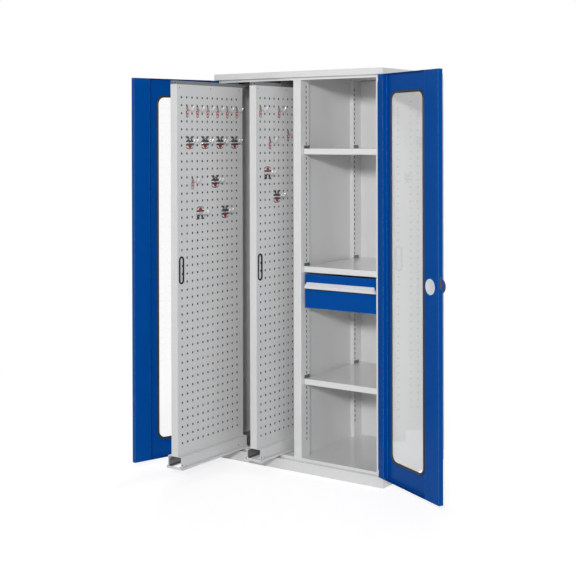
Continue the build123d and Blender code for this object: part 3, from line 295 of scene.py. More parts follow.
def finish(name, colour, roughness, metallic=0.0, specular=0.5, variation=0.05,
           spread=0.06, grain=900.0, relief=0.05, stretch=(1, 1, 1), rounding=0.6,
           edge=None, coat=0.0):
    """Procedural finish: cloudy colour, uneven gloss, fine relief, softened edges and, where an edge colour is
    given, a painted edge highlight.
    """
    mat = bpy.data.materials.new(name)
    mat.use_nodes = True
    nodes, links = mat.node_tree.nodes, mat.node_tree.links
    shader = nodes["Principled BSDF"]
    shader.inputs["Metallic"].default_value = metallic
    shader.inputs["Specular IOR Level"].default_value = specular
    shader.inputs["Coat Weight"].default_value = coat
    cloud = value_noise(nodes, links, *CLOUD_NOISE)
    base = blended(nodes, links, ranged(nodes, links, cloud, *WHOLE),
                   shaded(colour, 1 - variation), shaded(colour, 1 + variation))
    soft = nodes.new("ShaderNodeBevel")
    soft.samples = BEVEL_SAMPLES
    soft.inputs["Radius"].default_value = rounding * MM
    # The edge colour is a painted highlight along the edges.
    if edge is not None:
        base = painted_edge_highlight(nodes, links, soft, base, edge)
    links.new(base, shader.inputs["Base Color"])
    patch = value_noise(nodes, links, *PATCH_NOISE)
    links.new(ranged(nodes, links, patch, roughness - spread, roughness + spread),
              shader.inputs["Roughness"])
    bump = nodes.new("ShaderNodeBump")
    bump.inputs["Strength"].default_value = relief
    bump.inputs["Distance"].default_value = GRAIN_DEPTH
    links.new(value_noise(nodes, links, grain, GRAIN_DETAIL, stretch), bump.inputs["Height"])
    links.new(soft.outputs["Normal"], bump.inputs["Normal"])
    links.new(bump.outputs["Normal"], shader.inputs["Normal"])
    return mat


def painted_edge_highlight(nodes, links, soft, base, edge):
    """Painted highlight: colour lighter along the edges, where the rounded and the flat normals part, in patches.
    """
    geometry = nodes.new("ShaderNodeNewGeometry")
    dot = nodes.new("ShaderNodeVectorMath")
    dot.operation = "DOT_PRODUCT"
    links.new(soft.outputs["Normal"], dot.inputs[0])
    links.new(geometry.outputs["Normal"], dot.inputs[1])
    edge_highlight_mask = ranged(nodes, links, dot.outputs["Value"], *WHOLE, EDGE_SPAN)
    patches = ranged(nodes, links, value_noise(nodes, links, *EDGE_HIGHLIGHT_NOISE), *EDGE_HIGHLIGHT_SHARE)
    return blended(nodes, links, combined(nodes, links, "MULTIPLY", edge_highlight_mask, patches), base, edge)


def pane_finish(name):
    """Clear sheet that lets the lamps through."""
    mat = bpy.data.materials.new(name)
    mat.use_nodes = True
    nodes, links = mat.node_tree.nodes, mat.node_tree.links
    shader = nodes["Principled BSDF"]
    shader.inputs["Base Color"].default_value = (*WHITE, 1)
    shader.inputs["Transmission Weight"].default_value = 1.0
    shader.inputs["IOR"].default_value = PANE_IOR
    links.new(ranged(nodes, links, value_noise(nodes, links, *PANE_NOISE), *PANE_ROUGHNESS),
              shader.inputs["Roughness"])
    path = nodes.new("ShaderNodeLightPath")
    clear = nodes.new("ShaderNodeBsdfTransparent")
    mix = nodes.new("ShaderNodeMixShader")
    links.new(path.outputs["Is Shadow Ray"], mix.inputs[0])
    links.new(shader.outputs[0], mix.inputs[1])
    links.new(clear.outputs[0], mix.inputs[2])
    links.new(mix.outputs[0], nodes["Material Output"].inputs["Surface"])
    return mat


def make_finishes():
    """One finish for each material slot of the record, and the scene's own looks."""
    finishes = {name: finish(name, **look) for name, look in LOOKS.items()}
    finishes["pane"] = pane_finish("pane")
    return finishes


def dress_nodes(finishes):
    """Each carried-over node in the finish of its own slot."""
    for part in frame["record"]["subparts"]:
        data = frame["nodes"][part["node"]].data
        data.materials.clear()
        data.materials.append(finishes[part["material_slot"]])


# ---------------------------------------------------------------- piece helpers
MERGE = 0.00001
TUBE_ASIDE = Vector((0.13, 0.41, 0.9))
TUBE_TIP = 0.6
CORNER_SHARE = 0.35
SHARP_ANGLE = 35.0


def new_piece(bm, name, body, slot, finishes, look=None, smooth=False):
    """Piece from a bmesh, on its body, in the look of its slot or in one of its own."""
    mesh = mesh_from(bm, name, smooth)
    piece = bpy.data.objects.new(name, mesh)
    bpy.context.scene.collection.objects.link(piece)
    mesh.materials.append(finishes[look or slot])
    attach(piece, body)
    return piece


def mesh_from(bm, name, smooth):
    """Mesh with its doubled points merged and its faces turned outwards."""
    bmesh.ops.remove_doubles(bm, verts=bm.verts, dist=MERGE)
    bmesh.ops.recalc_face_normals(bm, faces=bm.faces)
    mesh = bpy.data.meshes.new(name)
    bm.to_mesh(mesh)
    bm.free()
    for face in mesh.polygons:
        face.use_smooth = smooth
    return mesh


def give_gauge(piece, thickness, offset):
    """Thickness of the sheet, laid to one side of the mesh or to both."""
    gauge = piece.modifiers.new("gauge", "SOLIDIFY")
    gauge.thickness = thickness
    gauge.offset = offset


def shade_by_angle(piece, limit=SHARP_ANGLE):
    """Smooth shading with the sharper folds kept."""
    mesh = piece.data
    for face in mesh.polygons:
        face.use_smooth = True
    mesh.set_sharp_from_angle(angle=math.radians(limit))


def turn_to(way):
    """Turn that carries +Z to the given way."""
    return Vector((0, 0, 1)).rotation_difference(way).to_matrix()


def joint_named(name):
    """Joint of the frame by its name."""
    return next(joint for joint in frame["joints"] if joint["name"] == name)


def rectangle(y_low, y_high, z_low, z_high):
    """Upright outline of four corners."""
    return [(y_low, z_low), (y_high, z_low), (y_high, z_high), (y_low, z_high)]


def oblong(centre, radius, straight, step=12):
    """Upright outline of (y, z) with round ends; radius and straight in millimetres."""
    outline = []
    for middle, start in ((straight, 0), (-straight, HALF_TURN)):
        for turn in range(0, HALF_TURN + 1, step):
            angle = math.radians(start + turn)
            outline.append((centre[0] + radius * MM * math.cos(angle),
                            centre[1] + (middle + radius * math.sin(angle)) * MM))
    return outline


def add_face(bm, points):
    """Face on points of its own."""
    bm.faces.new([bm.verts.new(point) for point in points])


def add_band(bm, first, second):
    """Closed band of faces between two rings of points."""
    for index in range(len(first)):
        bm.faces.new([first[index - 1], first[index], second[index], second[index - 1]])


def add_sweep(bm, rings):
    """Closed form through rings that come back to the first."""
    for index, ring in enumerate(rings):
        add_band(bm, rings[index - 1], ring)


def add_slab(bm, lower, upper):
    """Closed form between two rings of points."""
    bm.faces.new(lower)
    bm.faces.new(upper[::-1])
    add_band(bm, lower, upper)


def add_prism(bm, outline, x, thickness):
    """Flat plate in the plane of the panel: outline of (y, z), thickness to +X."""
    add_slab(bm, *([bm.verts.new((place, y, z)) for y, z in outline]
                   for place in (x, x + thickness)))


def add_tube(bm, points, radius, sides, closed=False):
    """Round wire along a list of points, with rounded-off ends."""
    rings = []
    count = len(points)
    for index, point in enumerate(points):
        before = points[(index - 1) % count] if closed or index > 0 else point
        after = points[(index + 1) % count] if closed or index < count - 1 else point
        ahead = (after - before).normalized()
        across = ahead.cross(TUBE_ASIDE).normalized()
        other = ahead.cross(across)
        ring = []
        for step in range(sides):
            angle = 2 * math.pi * step / sides
            ring.append(bm.verts.new(
                point + across * math.cos(angle) * radius + other * math.sin(angle) * radius))
        rings.append(ring)
    pairs = range(count) if closed else range(count - 1)
    for index in pairs:
        first, second = rings[index], rings[(index + 1) % count]
        shift = closest_turn(first, second)
        for step in range(sides):
            follow = (step + 1) % sides
            bm.faces.new((first[step], first[follow],
                          second[(follow + shift) % sides], second[(step + shift) % sides]))
    ends = () if closed else ((rings[0], points[0] - points[1]),
                              (rings[-1], points[-1] - points[-2]))
    for ring, tip in ends:
        middle = sum((v.co for v in ring), Vector()) / sides
        centre = bm.verts.new(middle + tip.normalized() * radius * TUBE_TIP)
        for step in range(sides):
            bm.faces.new((ring[step], ring[(step + 1) % sides], centre))


def closest_turn(first, second):
    """Offset that joins two rings without a twist."""
    sides = len(first)
    return min(range(sides), key=lambda turn: (second[turn].co - first[0].co).length)


def curve_points(corners, steps=6, closed=False):
    """Corners rounded into one smooth run of points."""
    points = []
    count = len(corners)
    for index, corner in enumerate(corners):
        if not closed and index in (0, count - 1):
            points.append(corner)
            continue
        before = corner.lerp(corners[index - 1], CORNER_SHARE)
        after = corner.lerp(corners[(index + 1) % count], CORNER_SHARE)
        for step in range(steps + 1):
            t = step / steps
            points.append(before.lerp(corner, t).lerp(corner.lerp(after, t), t))
    return points


def add_turned(bm, profile, place, turn, sides):
    """Turned form: profile of (radius, height) spun about +Z, turned and placed."""
    rings = []
    for radius, height in profile:
        angles = [2 * math.pi * step / sides for step in range(sides if radius else 1)]
        rings.append([
            bm.verts.new(place + turn @ Vector((
                radius * math.cos(angle), radius * math.sin(angle), height)))
            for angle in angles])
    for first, second in zip(rings, rings[1:]):
        for step in range(sides):
            follow = (step + 1) % sides
            corners = [first[step % len(first)], first[follow % len(first)],
                       second[follow % len(second)], second[step % len(second)]]
            unique = list(dict.fromkeys(corners))
            if len(unique) > 2:
                bm.faces.new(unique)


# ---------------------------------------------------------------- perforated sheets
HOLE = 10.0 * MM
PITCH = 38.0 * MM
COLUMNS = 12
ROWS = 44
FIRST_COLUMN = 35.0 * MM
TOP_ROW = 60.6 * MM
SHEET = 1.5 * MM
FOLD_RADIUS = 1.8 * MM
FOLD_STEPS = 4
# Depth and gauge of the dark sheets that paint the shade behind the holes.
SHADE_SHEET_DEPTH = 3.2 * MM
SHADE_SHEET_GAUGE = 0.4 * MM
# Rows of holes that the long handle takes up, its hole in millimetres, and a step in degrees.
HANDLE_ROWS = range(20, 24)
HANDLE_RADIUS = 19.0
HANDLE_STRAIGHT = 47.0
HANDLE_STEP = 15


def sheet_lines(low, high, centres):
    """Grid lines of one direction: both edges and both sides of each hole."""
    sides = [centre + way * HOLE / 2 for centre in centres for way in (-1, 1)]
    return sorted([low, high] + sides)


def handle_rows(rows):
    """Lower and upper end of the flat that the long handle takes up."""
    return rows[HANDLE_ROWS.stop] + HOLE / 2, rows[HANDLE_ROWS.start - 1] - HOLE / 2


def add_perforated_face(bm, x, front, rear, bottom, top, columns, rows, handle=None):
    """Punched flat of the sheet: a grid of quads with the holes and the handle left out."""
    ys = sheet_lines(front, rear, columns)
    zs = sheet_lines(bottom, top, rows)
    grid = {(y, z): bm.verts.new((x, y, z)) for y in ys for z in zs}
    block_y = (front, columns[1] - HOLE / 2)
    block_z = handle_rows(rows)
    for y_low, y_high in zip(ys, ys[1:]):
        for z_low, z_high in zip(zs, zs[1:]):
            middle_y, middle_z = (y_low + y_high) / 2, (z_low + z_high) / 2
            in_handle = (handle is not None and block_y[0] < middle_y < block_y[1]
                         and block_z[0] < middle_z < block_z[1])
            in_hole = (any(abs(middle_y - c) < HOLE / 4 for c in columns)
                       and any(abs(middle_z - r) < HOLE / 4 for r in rows))
            if not in_handle and not in_hole:
                bm.faces.new([grid[y_low, z_low], grid[y_high, z_low],
                              grid[y_high, z_high], grid[y_low, z_high]])
    if handle is not None:
        add_handle_surround(bm, x, grid, ys, zs, block_y, block_z, handle)


def add_handle_surround(bm, x, grid, ys, zs, block_y, block_z, handle):
    """Sheet between the grid and the long hole of the handle."""
    inside_y = [y for y in ys if block_y[0] <= y <= block_y[1]]
    inside_z = [z for z in zs if block_z[0] <= z <= block_z[1]]
    loop = [grid[y, inside_z[0]] for y in inside_y]
    loop += [grid[inside_y[-1], z] for z in inside_z[1:]]
    loop += [grid[y, inside_z[-1]] for y in inside_y[-2::-1]]
    loop += [grid[inside_y[0], z] for z in inside_z[-2:0:-1]]
    hole = [bm.verts.new((x, y, z))
            for y, z in oblong(handle, HANDLE_RADIUS, HANDLE_STRAIGHT, HANDLE_STEP)]
    edges = []
    for ring in (loop, hole):
        for index in range(len(ring)):
            pair = (ring[index - 1], ring[index])
            edges.append(bm.edges.get(pair) or bm.edges.new(pair))
    bmesh.ops.triangle_fill(bm, use_beauty=True, edges=edges)


def add_fold(bm, x_outer, x_inner, y_flat, y_outer, zs):
    """Bent edge and return flange of the sheet, from the flat round to the inside."""
    way = 1 if y_outer > y_flat else -1
    profile = []
    for step in range(FOLD_STEPS + 1):
        angle = math.radians(QUARTER * step / FOLD_STEPS)
        profile.append((x_outer - FOLD_RADIUS * (1 - math.cos(angle)),
                        y_flat + way * FOLD_RADIUS * math.sin(angle)))
    profile.append((x_inner, y_outer))
    for (x_a, y_a), (x_b, y_b) in zip(profile, profile[1:]):
        for z_low, z_high in zip(zs, zs[1:]):
            add_face(bm, ((x_a, y_a, z_low), (x_b, y_b, z_low), (x_b, y_b, z_high),
                          (x_a, y_a, z_high)))


def make_perforated_sheet(side, finishes):
    """Punched and folded face of one pull-out, and all that goes by its grid of holes."""
    low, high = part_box(f"{side}_panel_face")
    cap_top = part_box(f"{side}_panel_cap")[1].z
    rim_low, rim_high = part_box(f"{side}_handle_rim")
    handle = ((rim_low.y + rim_high.y) / 2, (rim_low.z + rim_high.z) / 2)
    columns = [low.y + FIRST_COLUMN + PITCH * column for column in range(COLUMNS)]
    rows = [cap_top - TOP_ROW - PITCH * row for row in range(ROWS)]
    bm = bmesh.new()
    front, rear = low.y + FOLD_RADIUS, high.y - FOLD_RADIUS
    add_perforated_face(bm, high.x, front, rear, low.z, high.z, columns, rows, handle)
    zs = sheet_lines(low.z, high.z, rows)
    add_fold(bm, high.x, low.x, front, low.y, zs)
    add_fold(bm, high.x, low.x, rear, high.y, zs)
    piece = new_piece(bm, f"{side}_perforated_sheet", f"{side}_pullout", "panel_grey", finishes)
    give_gauge(piece, SHEET, -1.0)
    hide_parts(f"{side}_panel_face")
    make_perforated_back(side, columns, rows, finishes)
    make_handle_ring(side, high.x, handle, finishes)
    make_handle_pan(side, high.x, handle, rows, finishes)
    make_panel_shade_sheets(side, columns, rows, finishes)


def make_perforated_back(side, columns, rows, finishes):
    """Rear sheet of the panel, punched with the same grid as its face."""
    low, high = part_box(f"{side}_panel_back")
    bm = bmesh.new()
    add_perforated_face(bm, (low.x + high.x) / 2, low.y, high.y, low.z, high.z, columns, rows)
    piece = new_piece(bm, f"{side}_perforated_back", f"{side}_pullout", "panel_grey", finishes)
    give_gauge(piece, SHEET, 0.0)
    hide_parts(f"{side}_panel_back")


def make_panel_shade_sheets(side, columns, rows, finishes):
    """Painted shade: dark sheets close behind both punched skins, so that the holes read dark, open round the
    handle.
    """
    low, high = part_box(f"{side}_panel_face")
    front, rear = low.y + 2 * SHEET, high.y - 2 * SHEET
    edge = columns[1] - HOLE / 2
    below, above = handle_rows(rows)
    face_x = high.x - SHADE_SHEET_DEPTH
    back_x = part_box(f"{side}_panel_back")[0].x + SHADE_SHEET_DEPTH
    bm = bmesh.new()
    for x, outline in (
            (face_x, rectangle(edge, rear, low.z, high.z)),
            (face_x, rectangle(front, edge, low.z, below)),
            (face_x, rectangle(front, edge, above, high.z)),
            (back_x, rectangle(front, rear, low.z, high.z))):
        add_prism(bm, outline, x, SHADE_SHEET_GAUGE)
    new_piece(bm, f"{side}_panel_shade_sheets", f"{side}_pullout", "runner_dark", finishes, "hollow")


# ---------------------------------------------------------------- long handle
# Lengths in millimetres; a profile is (radius, distance out of the panel's face).
PAN_RADIUS = 12.4
PAN_DEPTH = 30.0
PAN_MARK_ROWS = (21, 22, 23)
PAN_MARK_SPAN = (-8.0, -2.6)
PAN_MARK_PROUD = 0.1
RING_PROFILE = [(19.0, -1.6), (19.0, 0.5), (18.3, 1.2), (17.2, 1.5), (13.0, 1.5), (11.8, 1.2),
                (11.2, 0.5), (11.2, -3.0), (12.4, -3.0), (12.4, -1.6)]


def make_handle_pan(side, face_x, handle, rows, finishes):
    """Light finger pan behind the handle's rim, with black patches of painted shade where holes are punched in its
    far wall.
    """
    outline = oblong(handle, PAN_RADIUS, HANDLE_STRAIGHT)
    bm = bmesh.new()
    mouth, base = ([bm.verts.new((x, y, z)) for y, z in outline]
                   for x in (face_x - SHEET, face_x - PAN_DEPTH * MM))
    bm.faces.new(base)
    add_band(bm, mouth, base)
    new_piece(bm, f"{side}_handle_pan", f"{side}_pullout", "panel_grey", finishes)
    # Painted shade: flat black patches stand for the holes in the pan's far wall.
    hole_shades = bmesh.new()
    low, high = (face_x + value * MM for value in PAN_MARK_SPAN)
    wall = handle[0] + (PAN_RADIUS - PAN_MARK_PROUD) * MM
    for row in PAN_MARK_ROWS:
        z_low, z_high = rows[row] - HOLE / 2, rows[row] + HOLE / 2
        add_face(hole_shades, ((low, wall, z_low), (high, wall, z_low), (high, wall, z_high),
                         (low, wall, z_high)))
    new_piece(hole_shades, f"{side}_handle_hole_shades", f"{side}_pullout", "runner_dark", finishes,
              "hollow")


def make_handle_ring(side, face_x, handle, finishes):
    """Moulded black rim pressed into the long hole of the handle."""
    bm = bmesh.new()
    add_sweep(bm, [[bm.verts.new((face_x + proud * MM, y, z))
                    for y, z in oblong(handle, radius, HANDLE_STRAIGHT)]
                   for radius, proud in RING_PROFILE])
    piece = new_piece(bm, f"{side}_handle_ring", f"{side}_pullout", "handle_black", finishes)
    shade_by_angle(piece)
    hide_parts(f"{side}_handle_rim")


# ---------------------------------------------------------------- slotted posts
SLOT_WIDTH = 8.0 * MM
SLOT_LENGTH = 14.0 * MM
SLOT_SPACING = 25.0 * MM
SLOT_FIRST = 150.0 * MM
SLOT_COUNT = 70
# Front edge, rear edge and middle of the slots, in depth.
FRONT_POST = (-272.5 * MM, -200.0 * MM, -226.5 * MM)
REAR_POST = (206.0 * MM, 278.0 * MM, 216.0 * MM)
POST_SHEET = 1.5 * MM
STRIP_HALF = 5.5 * MM
STRIP_GAP = 0.2 * MM
STRIP_SHEET = 0.3 * MM
STRIP_FOOT = 1.5 * MM
STRIP_HEAD = 6.0 * MM


def make_slotted_posts(finishes):
    """Posts on the right wall with both columns of shelf slots punched all the way up."""
    low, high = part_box("right_posts")
    heights = [SLOT_FIRST + SLOT_SPACING * number for number in range(SLOT_COUNT)]
    zs = sorted([low.z, high.z] + [height + way * SLOT_LENGTH / 2
                                   for height in heights for way in (-1, 1)])
    bm = bmesh.new()
    for post in (FRONT_POST, REAR_POST):
        y_low, y_high, slot_y = post
        ys = [y_low, slot_y - SLOT_WIDTH / 2, slot_y + SLOT_WIDTH / 2, y_high]
        grid = {(y, z): bm.verts.new((low.x, y, z)) for y in ys for z in zs}
        for column, (y_a, y_b) in enumerate(zip(ys, ys[1:])):
            for row, (z_a, z_b) in enumerate(zip(zs, zs[1:])):
                if column != 1 or row % 2 == 0:
                    bm.faces.new([grid[y_a, z_a], grid[y_a, z_b], grid[y_b, z_b],
                                  grid[y_b, z_a]])
        y_flange = y_high if post is FRONT_POST else y_low
        add_face(bm, ((low.x, y_flange, low.z), (low.x, y_flange, high.z),
                      (high.x, y_flange, high.z), (high.x, y_flange, low.z)))
    piece = new_piece(bm, "right_slotted_posts", "cabinet", "body_grey", finishes)
    give_gauge(piece, POST_SHEET, 0.0)
    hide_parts("right_posts")


def make_slot_strips(finishes):
    """Shadow strips close behind the slot columns of the partition and the right wall."""
    posts_low, posts_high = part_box("partition_posts")
    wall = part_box("right_posts")[0].x
    bm = bmesh.new()
    for x in (posts_high.x - POST_SHEET - STRIP_GAP - STRIP_SHEET,
              wall + POST_SHEET + STRIP_GAP):
        for *_, middle in (FRONT_POST, REAR_POST):
            outline = rectangle(middle - STRIP_HALF, middle + STRIP_HALF,
                                posts_low.z + STRIP_FOOT, posts_high.z - STRIP_HEAD)
            add_prism(bm, outline, x, STRIP_SHEET)
    new_piece(bm, "slot_strips", "cabinet", "runner_dark", finishes, "hollow")


# ---------------------------------------------------------------- tool hooks
WIRE = 1.5 * MM
WIRE_SIDES = 8
PRONG = 2.3 * MM
PRONG_SIDES = 12
PRONG_REACH = 46.0 * MM
PRONG_LEVEL = 0.72
PRONG_DROP = {"single": 21.0 * MM, "double": 26.0 * MM}
PRONG_TIP = {"single": 16.0 * MM, "double": 17.0 * MM}
PRONG_APART = 12.0 * MM
BAR_HALF = 24.0 * MM
FLIP_LINE = -23.0 * MM
# Places as (column, row) of the hole that a hook hangs in, the left one of a double hook's two.
LEFT_SINGLES = [(column, 1) for column in range(1, 12, 2)] + [(2, 10)]
LEFT_DOUBLES = [(1, 5), (4, 5), (7, 5), (10, 5), (6, 10), (8, 14), (3, 14)]
RIGHT_SINGLES = [(0, 1), (4, 1), (6, 4), (2, 5)]
RIGHT_DOUBLES = [(3, 12), (1, 9)]
TURNED_OVER = {("left", 3, 14), ("right", 1, 9)}
# Outlines in millimetres from the hole: along the panel, then up.
SINGLE_LOOP = [(0, 1), (7, -18), (-7, -18)]
SINGLE_TAIL = [(6, -37), (6, -56), (-6, -56), (-6, -37)]
SINGLE_CLIP = 3.6
SINGLE_LABEL = 0.4
DOUBLE_LOOP = {False: [(0, 0), (6, -14), (-6, -14)], True: [(0, 46), (6, 32), (-6, 32)]}
DOUBLE_LOOP_PROUD = 2.6 * MM
CROSS = [(-28, 6), (-13, 6), (0, -2), (13, 6), (28, 6), (28, 1), (11, -8), (28, -17),
         (28, -22), (-28, -22), (-28, -17), (-11, -8), (-28, 1)]
WEDGE = [(-8, 0), (8, 0), (4, -15), (-4, -15)]
BOWL_EDGE = 4


def add_prong(bm, x, y, z, tip):
    """Round prong: out of the plate, level, and turned up at its end."""
    corners = [Vector((x, y, z)), Vector((x + PRONG_REACH * PRONG_LEVEL, y, z)),
               Vector((x + PRONG_REACH - PRONG, y, z + tip))]
    add_tube(bm, curve_points(corners), PRONG, PRONG_SIDES)


def add_wire_loop(bm, x, y, z, corners):
    """Closed loop of wire along the panel."""
    points = [Vector((x, y + a * MM, z + b * MM)) for a, b in corners]
    add_tube(bm, curve_points(points, closed=True), WIRE, WIRE_SIDES, closed=True)


def add_outline_plate(bm, x, y, z, corners, thickness, flip=False):
    """Flat plate on the panel, turned over about the hook's middle where it hangs so."""
    places = []
    for a, b in corners:
        height = b * MM
        places.append((y + a * MM, z + (2 * FLIP_LINE - height if flip else height)))
    add_prism(bm, places, x, thickness * MM)


def crescent(width, top, bottom, steps=10):
    """Shallow bowl outline: straight on top, round below."""
    corners = [(-width, top), (width, top)]
    rim = top - BOWL_EDGE
    for step in range(steps + 1):
        angle = math.pi * step / steps
        corners.append((width * math.cos(angle), rim + (bottom - rim) * math.sin(angle)))
    return corners


def rounded(half, top, bottom, cut=2.0):
    """Rectangle outline with its corners cut."""
    return [(-half + cut, top), (half - cut, top), (half, top - cut), (half, bottom + cut),
            (half - cut, bottom), (-half + cut, bottom), (-half, bottom + cut),
            (-half, top - cut)]


SINGLE_TAB = rounded(7, -24, -41)
SINGLE_MARK = rounded(3.4, -28, -37, 1.0)
# Kind, outline and thickness in millimetres of each plate of a double hook.
DOUBLE_PLATES = (
    ("plates", CROSS, 2.2),
    ("labels", WEDGE, 2.6),
    ("plates", rounded(27, -30, -39, 1.5), 2.6),
    ("plates", crescent(25, -44, -56), 1.4),
    ("labels", crescent(22, -38, -53), 2.4),
    ("tabs", crescent(11, -38, -52), 3.4))


def add_single_hook(parts, x, y, z):
    """Wire loop in the hole, prong, red clip and the wire's lower loop."""
    add_wire_loop(parts["wires"], x + WIRE, y, z, SINGLE_LOOP)
    add_prong(parts["prongs"], x, y, z - PRONG_DROP["single"], PRONG_TIP["single"])
    add_outline_plate(parts["tabs"], x, y, z, SINGLE_TAB, SINGLE_CLIP)
    add_outline_plate(parts["labels"], x + SINGLE_CLIP * MM, y, z, SINGLE_MARK, SINGLE_LABEL)
    add_wire_loop(parts["wires"], x + WIRE, y, z, SINGLE_TAIL)


def add_double_hook(parts, x, y, z, flip):
    """Cross plate over two holes, a pair of prongs, and the lower clip with its band."""
    for kind, outline, thickness in DOUBLE_PLATES:
        add_outline_plate(parts[kind], x, y, z, outline, thickness, flip)
    add_wire_loop(parts["wires"], x + DOUBLE_LOOP_PROUD, y, z + (2 * FLIP_LINE if flip else 0),
                  DOUBLE_LOOP[flip])
    bar = z - PRONG_DROP["double"]
    points = [Vector((x + PRONG, y + way * BAR_HALF, bar)) for way in (-1, 1)]
    add_tube(parts["prongs"], points, PRONG, PRONG_SIDES)
    for way in (-1, 1):
        add_prong(parts["prongs"], x, y + way * PRONG_APART, bar, PRONG_TIP["double"])


def hook_place(side, column, row):
    """Panel's face, then depth and height of one hole of the perforation."""
    low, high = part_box(f"{side}_panel_face")
    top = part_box(f"{side}_panel_cap")[1].z
    return high.x, low.y + FIRST_COLUMN + PITCH * column, top - TOP_ROW - PITCH * row


def make_hooks(side, singles, doubles, finishes):
    """All hooks of one pull-out, as one piece for each kind of part."""
    kinds = {"wires": ("hook_wire_shaded", "hook_steel"), "prongs": ("hook_steel", "hook_steel"),
             "plates": ("hook_plate", "hook_steel"), "tabs": ("tab_red", "tab_red"),
             "labels": ("label_white", "tab_red")}
    parts = {kind: bmesh.new() for kind in kinds}
    for column, row in singles:
        add_single_hook(parts, *hook_place(side, column, row))
    for column, row in doubles:
        x, y, z = hook_place(side, column + 0.5, row)
        add_double_hook(parts, x, y, z, (side, column, row) in TURNED_OVER)
    replaced = {"prongs": f"{side}_hooks", "tabs": f"{side}_hook_tabs"}
    for kind, (look, slot) in kinds.items():
        piece = new_piece(parts[kind], f"{side}_hook_{kind}", f"{side}_pullout", slot, finishes,
                          look, smooth=kind in ("wires", "prongs"))
        if kind in replaced:
            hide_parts(replaced[kind])


# ---------------------------------------------------------------- small fittings
SCREW_RADIUS = 3.6 * MM
ROUND_SIDES = 20
DRIVER_SIDES = 6
# Each profile: share of the screw's radius, and height in millimetres.
SCREW_HEAD = [(1, -0.3), (1, 0.1), (0.8, 0.55), (0.5, 0.8), (0.42, 0.8), (0.3, 0.2), (0, 0.1)]
# Black hexagon in the head's recess, painted shade for the driver's hollow.
SCREW_HOLLOW = [(0.34, 0.35), (0, 0.36)]
SCREW_BELOW_TOP = 15.0 * MM
SCREW_INSETS = (18.5 * MM, 251.0 * MM, 472.5 * MM)
RUNNER_HOLE_APART = 9.5 * MM
RUNNER_HOLE = 3.5
BEAM_HOLE = 2.5
BEAM_WALL = 22.0 * MM
BEAM_HOLES = ((8.0 * MM, 23.0 * MM), (435.0 * MM, 26.0 * MM))
# Share of the hole's radius, and height in millimetres, of its thin rim and of its black floor, which is painted
# shade for the hole's depth.
HOLE_PROFILE = [(1.12, 0.0), (1.12, 0.12), (1.0, 0.12), (0.9, 0.05), (0.0, 0.04)]
GRIP_SHADOW = 6.5 * MM
GRIP_SHADOW_PROUD = 0.4 * MM
GRIP_SHADOW_INSET = 3.0 * MM


def scaled_profile(profile, radius):
    """Profile in metres from shares of a radius and heights in millimetres."""
    return [(radius * share, height * MM) for share, height in profile]


def add_screw(bm, recess, place, way):
    """Raised countersunk head, and a black hexagon in its recess, painted shade for the driver's hollow."""
    turn = turn_to(way)
    add_turned(bm, scaled_profile(SCREW_HEAD, SCREW_RADIUS), place, turn, ROUND_SIDES)
    add_turned(recess, scaled_profile(SCREW_HOLLOW, SCREW_RADIUS), place, turn, DRIVER_SIDES)


def make_panel_screws(side, finishes):
    """Three screws on each long side of the cap, where it closes the panel."""
    low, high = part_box(f"{side}_panel_cap")
    heads, recess = bmesh.new(), bmesh.new()
    for x, way in ((low.x, Vector((-1, 0, 0))), (high.x, Vector((1, 0, 0)))):
        for inset in SCREW_INSETS:
            add_screw(heads, recess, Vector((x, low.y + inset, high.z - SCREW_BELOW_TOP)), way)
    # The hollows are black hexagons of painted shade.
    for bm, name, slot in ((heads, "screws", "pin_steel"),
                           (recess, "screw_hollow_shades", "handle_black")):
        new_piece(bm, f"{side}_cap_{name}", f"{side}_pullout", slot, finishes, smooth=True)


def add_hole(bm, radius, place, turn):
    """Thin rim round a shallow black floor, painted shade for the hole's depth; radius in millimetres."""
    add_turned(bm, scaled_profile(HOLE_PROFILE, radius * MM), place, turn, ROUND_SIDES)


def make_runner_holes(side, finishes):
    """Rimmed round holes with floors of painted black shade: two in the top runner's end and two in the carriage
    beam's wall.
    """
    low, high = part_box(f"{side}_top_runner")
    bm = bmesh.new()
    middle = (low + high) / 2
    for way in (-1, 1):
        place = Vector((middle.x + way * RUNNER_HOLE_APART, low.y, middle.z))
        add_hole(bm, RUNNER_HOLE, place, turn_to(Vector((0, -1, 0))))
    beam_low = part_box(f"{side}_carriage_beam")[0]
    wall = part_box(f"{side}_panel_face")[1].x + BEAM_WALL
    for inset, rise in BEAM_HOLES:
        place = Vector((wall, beam_low.y + inset, beam_low.z + rise))
        add_hole(bm, BEAM_HOLE, place, turn_to(Vector((1, 0, 0))))
    new_piece(bm, f"{side}_end_holes", f"{side}_pullout", "handle_black", finishes)


def make_grip_shadow(finishes):
    """Painted shade: dark strip under the lower edge of the drawer's grip bar, for the finger gap between it and
    the drawer's front.
    """
    low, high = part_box("drawer_grip")
    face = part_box("drawer_front")[0].y
    corners = rectangle(low.x + GRIP_SHADOW_INSET, high.x - GRIP_SHADOW_INSET,
                        low.z - GRIP_SHADOW, low.z + GRIP_SHADOW_INSET)
    bm = bmesh.new()
    add_slab(bm, *([bm.verts.new((x, y, z)) for x, z in corners]
                   for y in (face - GRIP_SHADOW_PROUD, face)))
    new_piece(bm, "grip_gap_shade", "drawer", "runner_dark", finishes, "hollow")


# ---------------------------------------------------------------- door windows
# Millimetres on the closed right door: across from the middle, depth, and up.
DOOR_OPEN = {"left": 107.4, "right": 152.7}
WINDOW_X = (140.0, 415.0)
WINDOW_Z = (136.0, 1838.5)
WINDOW_RADIUS = 45.0
CORNER_STEP = 9
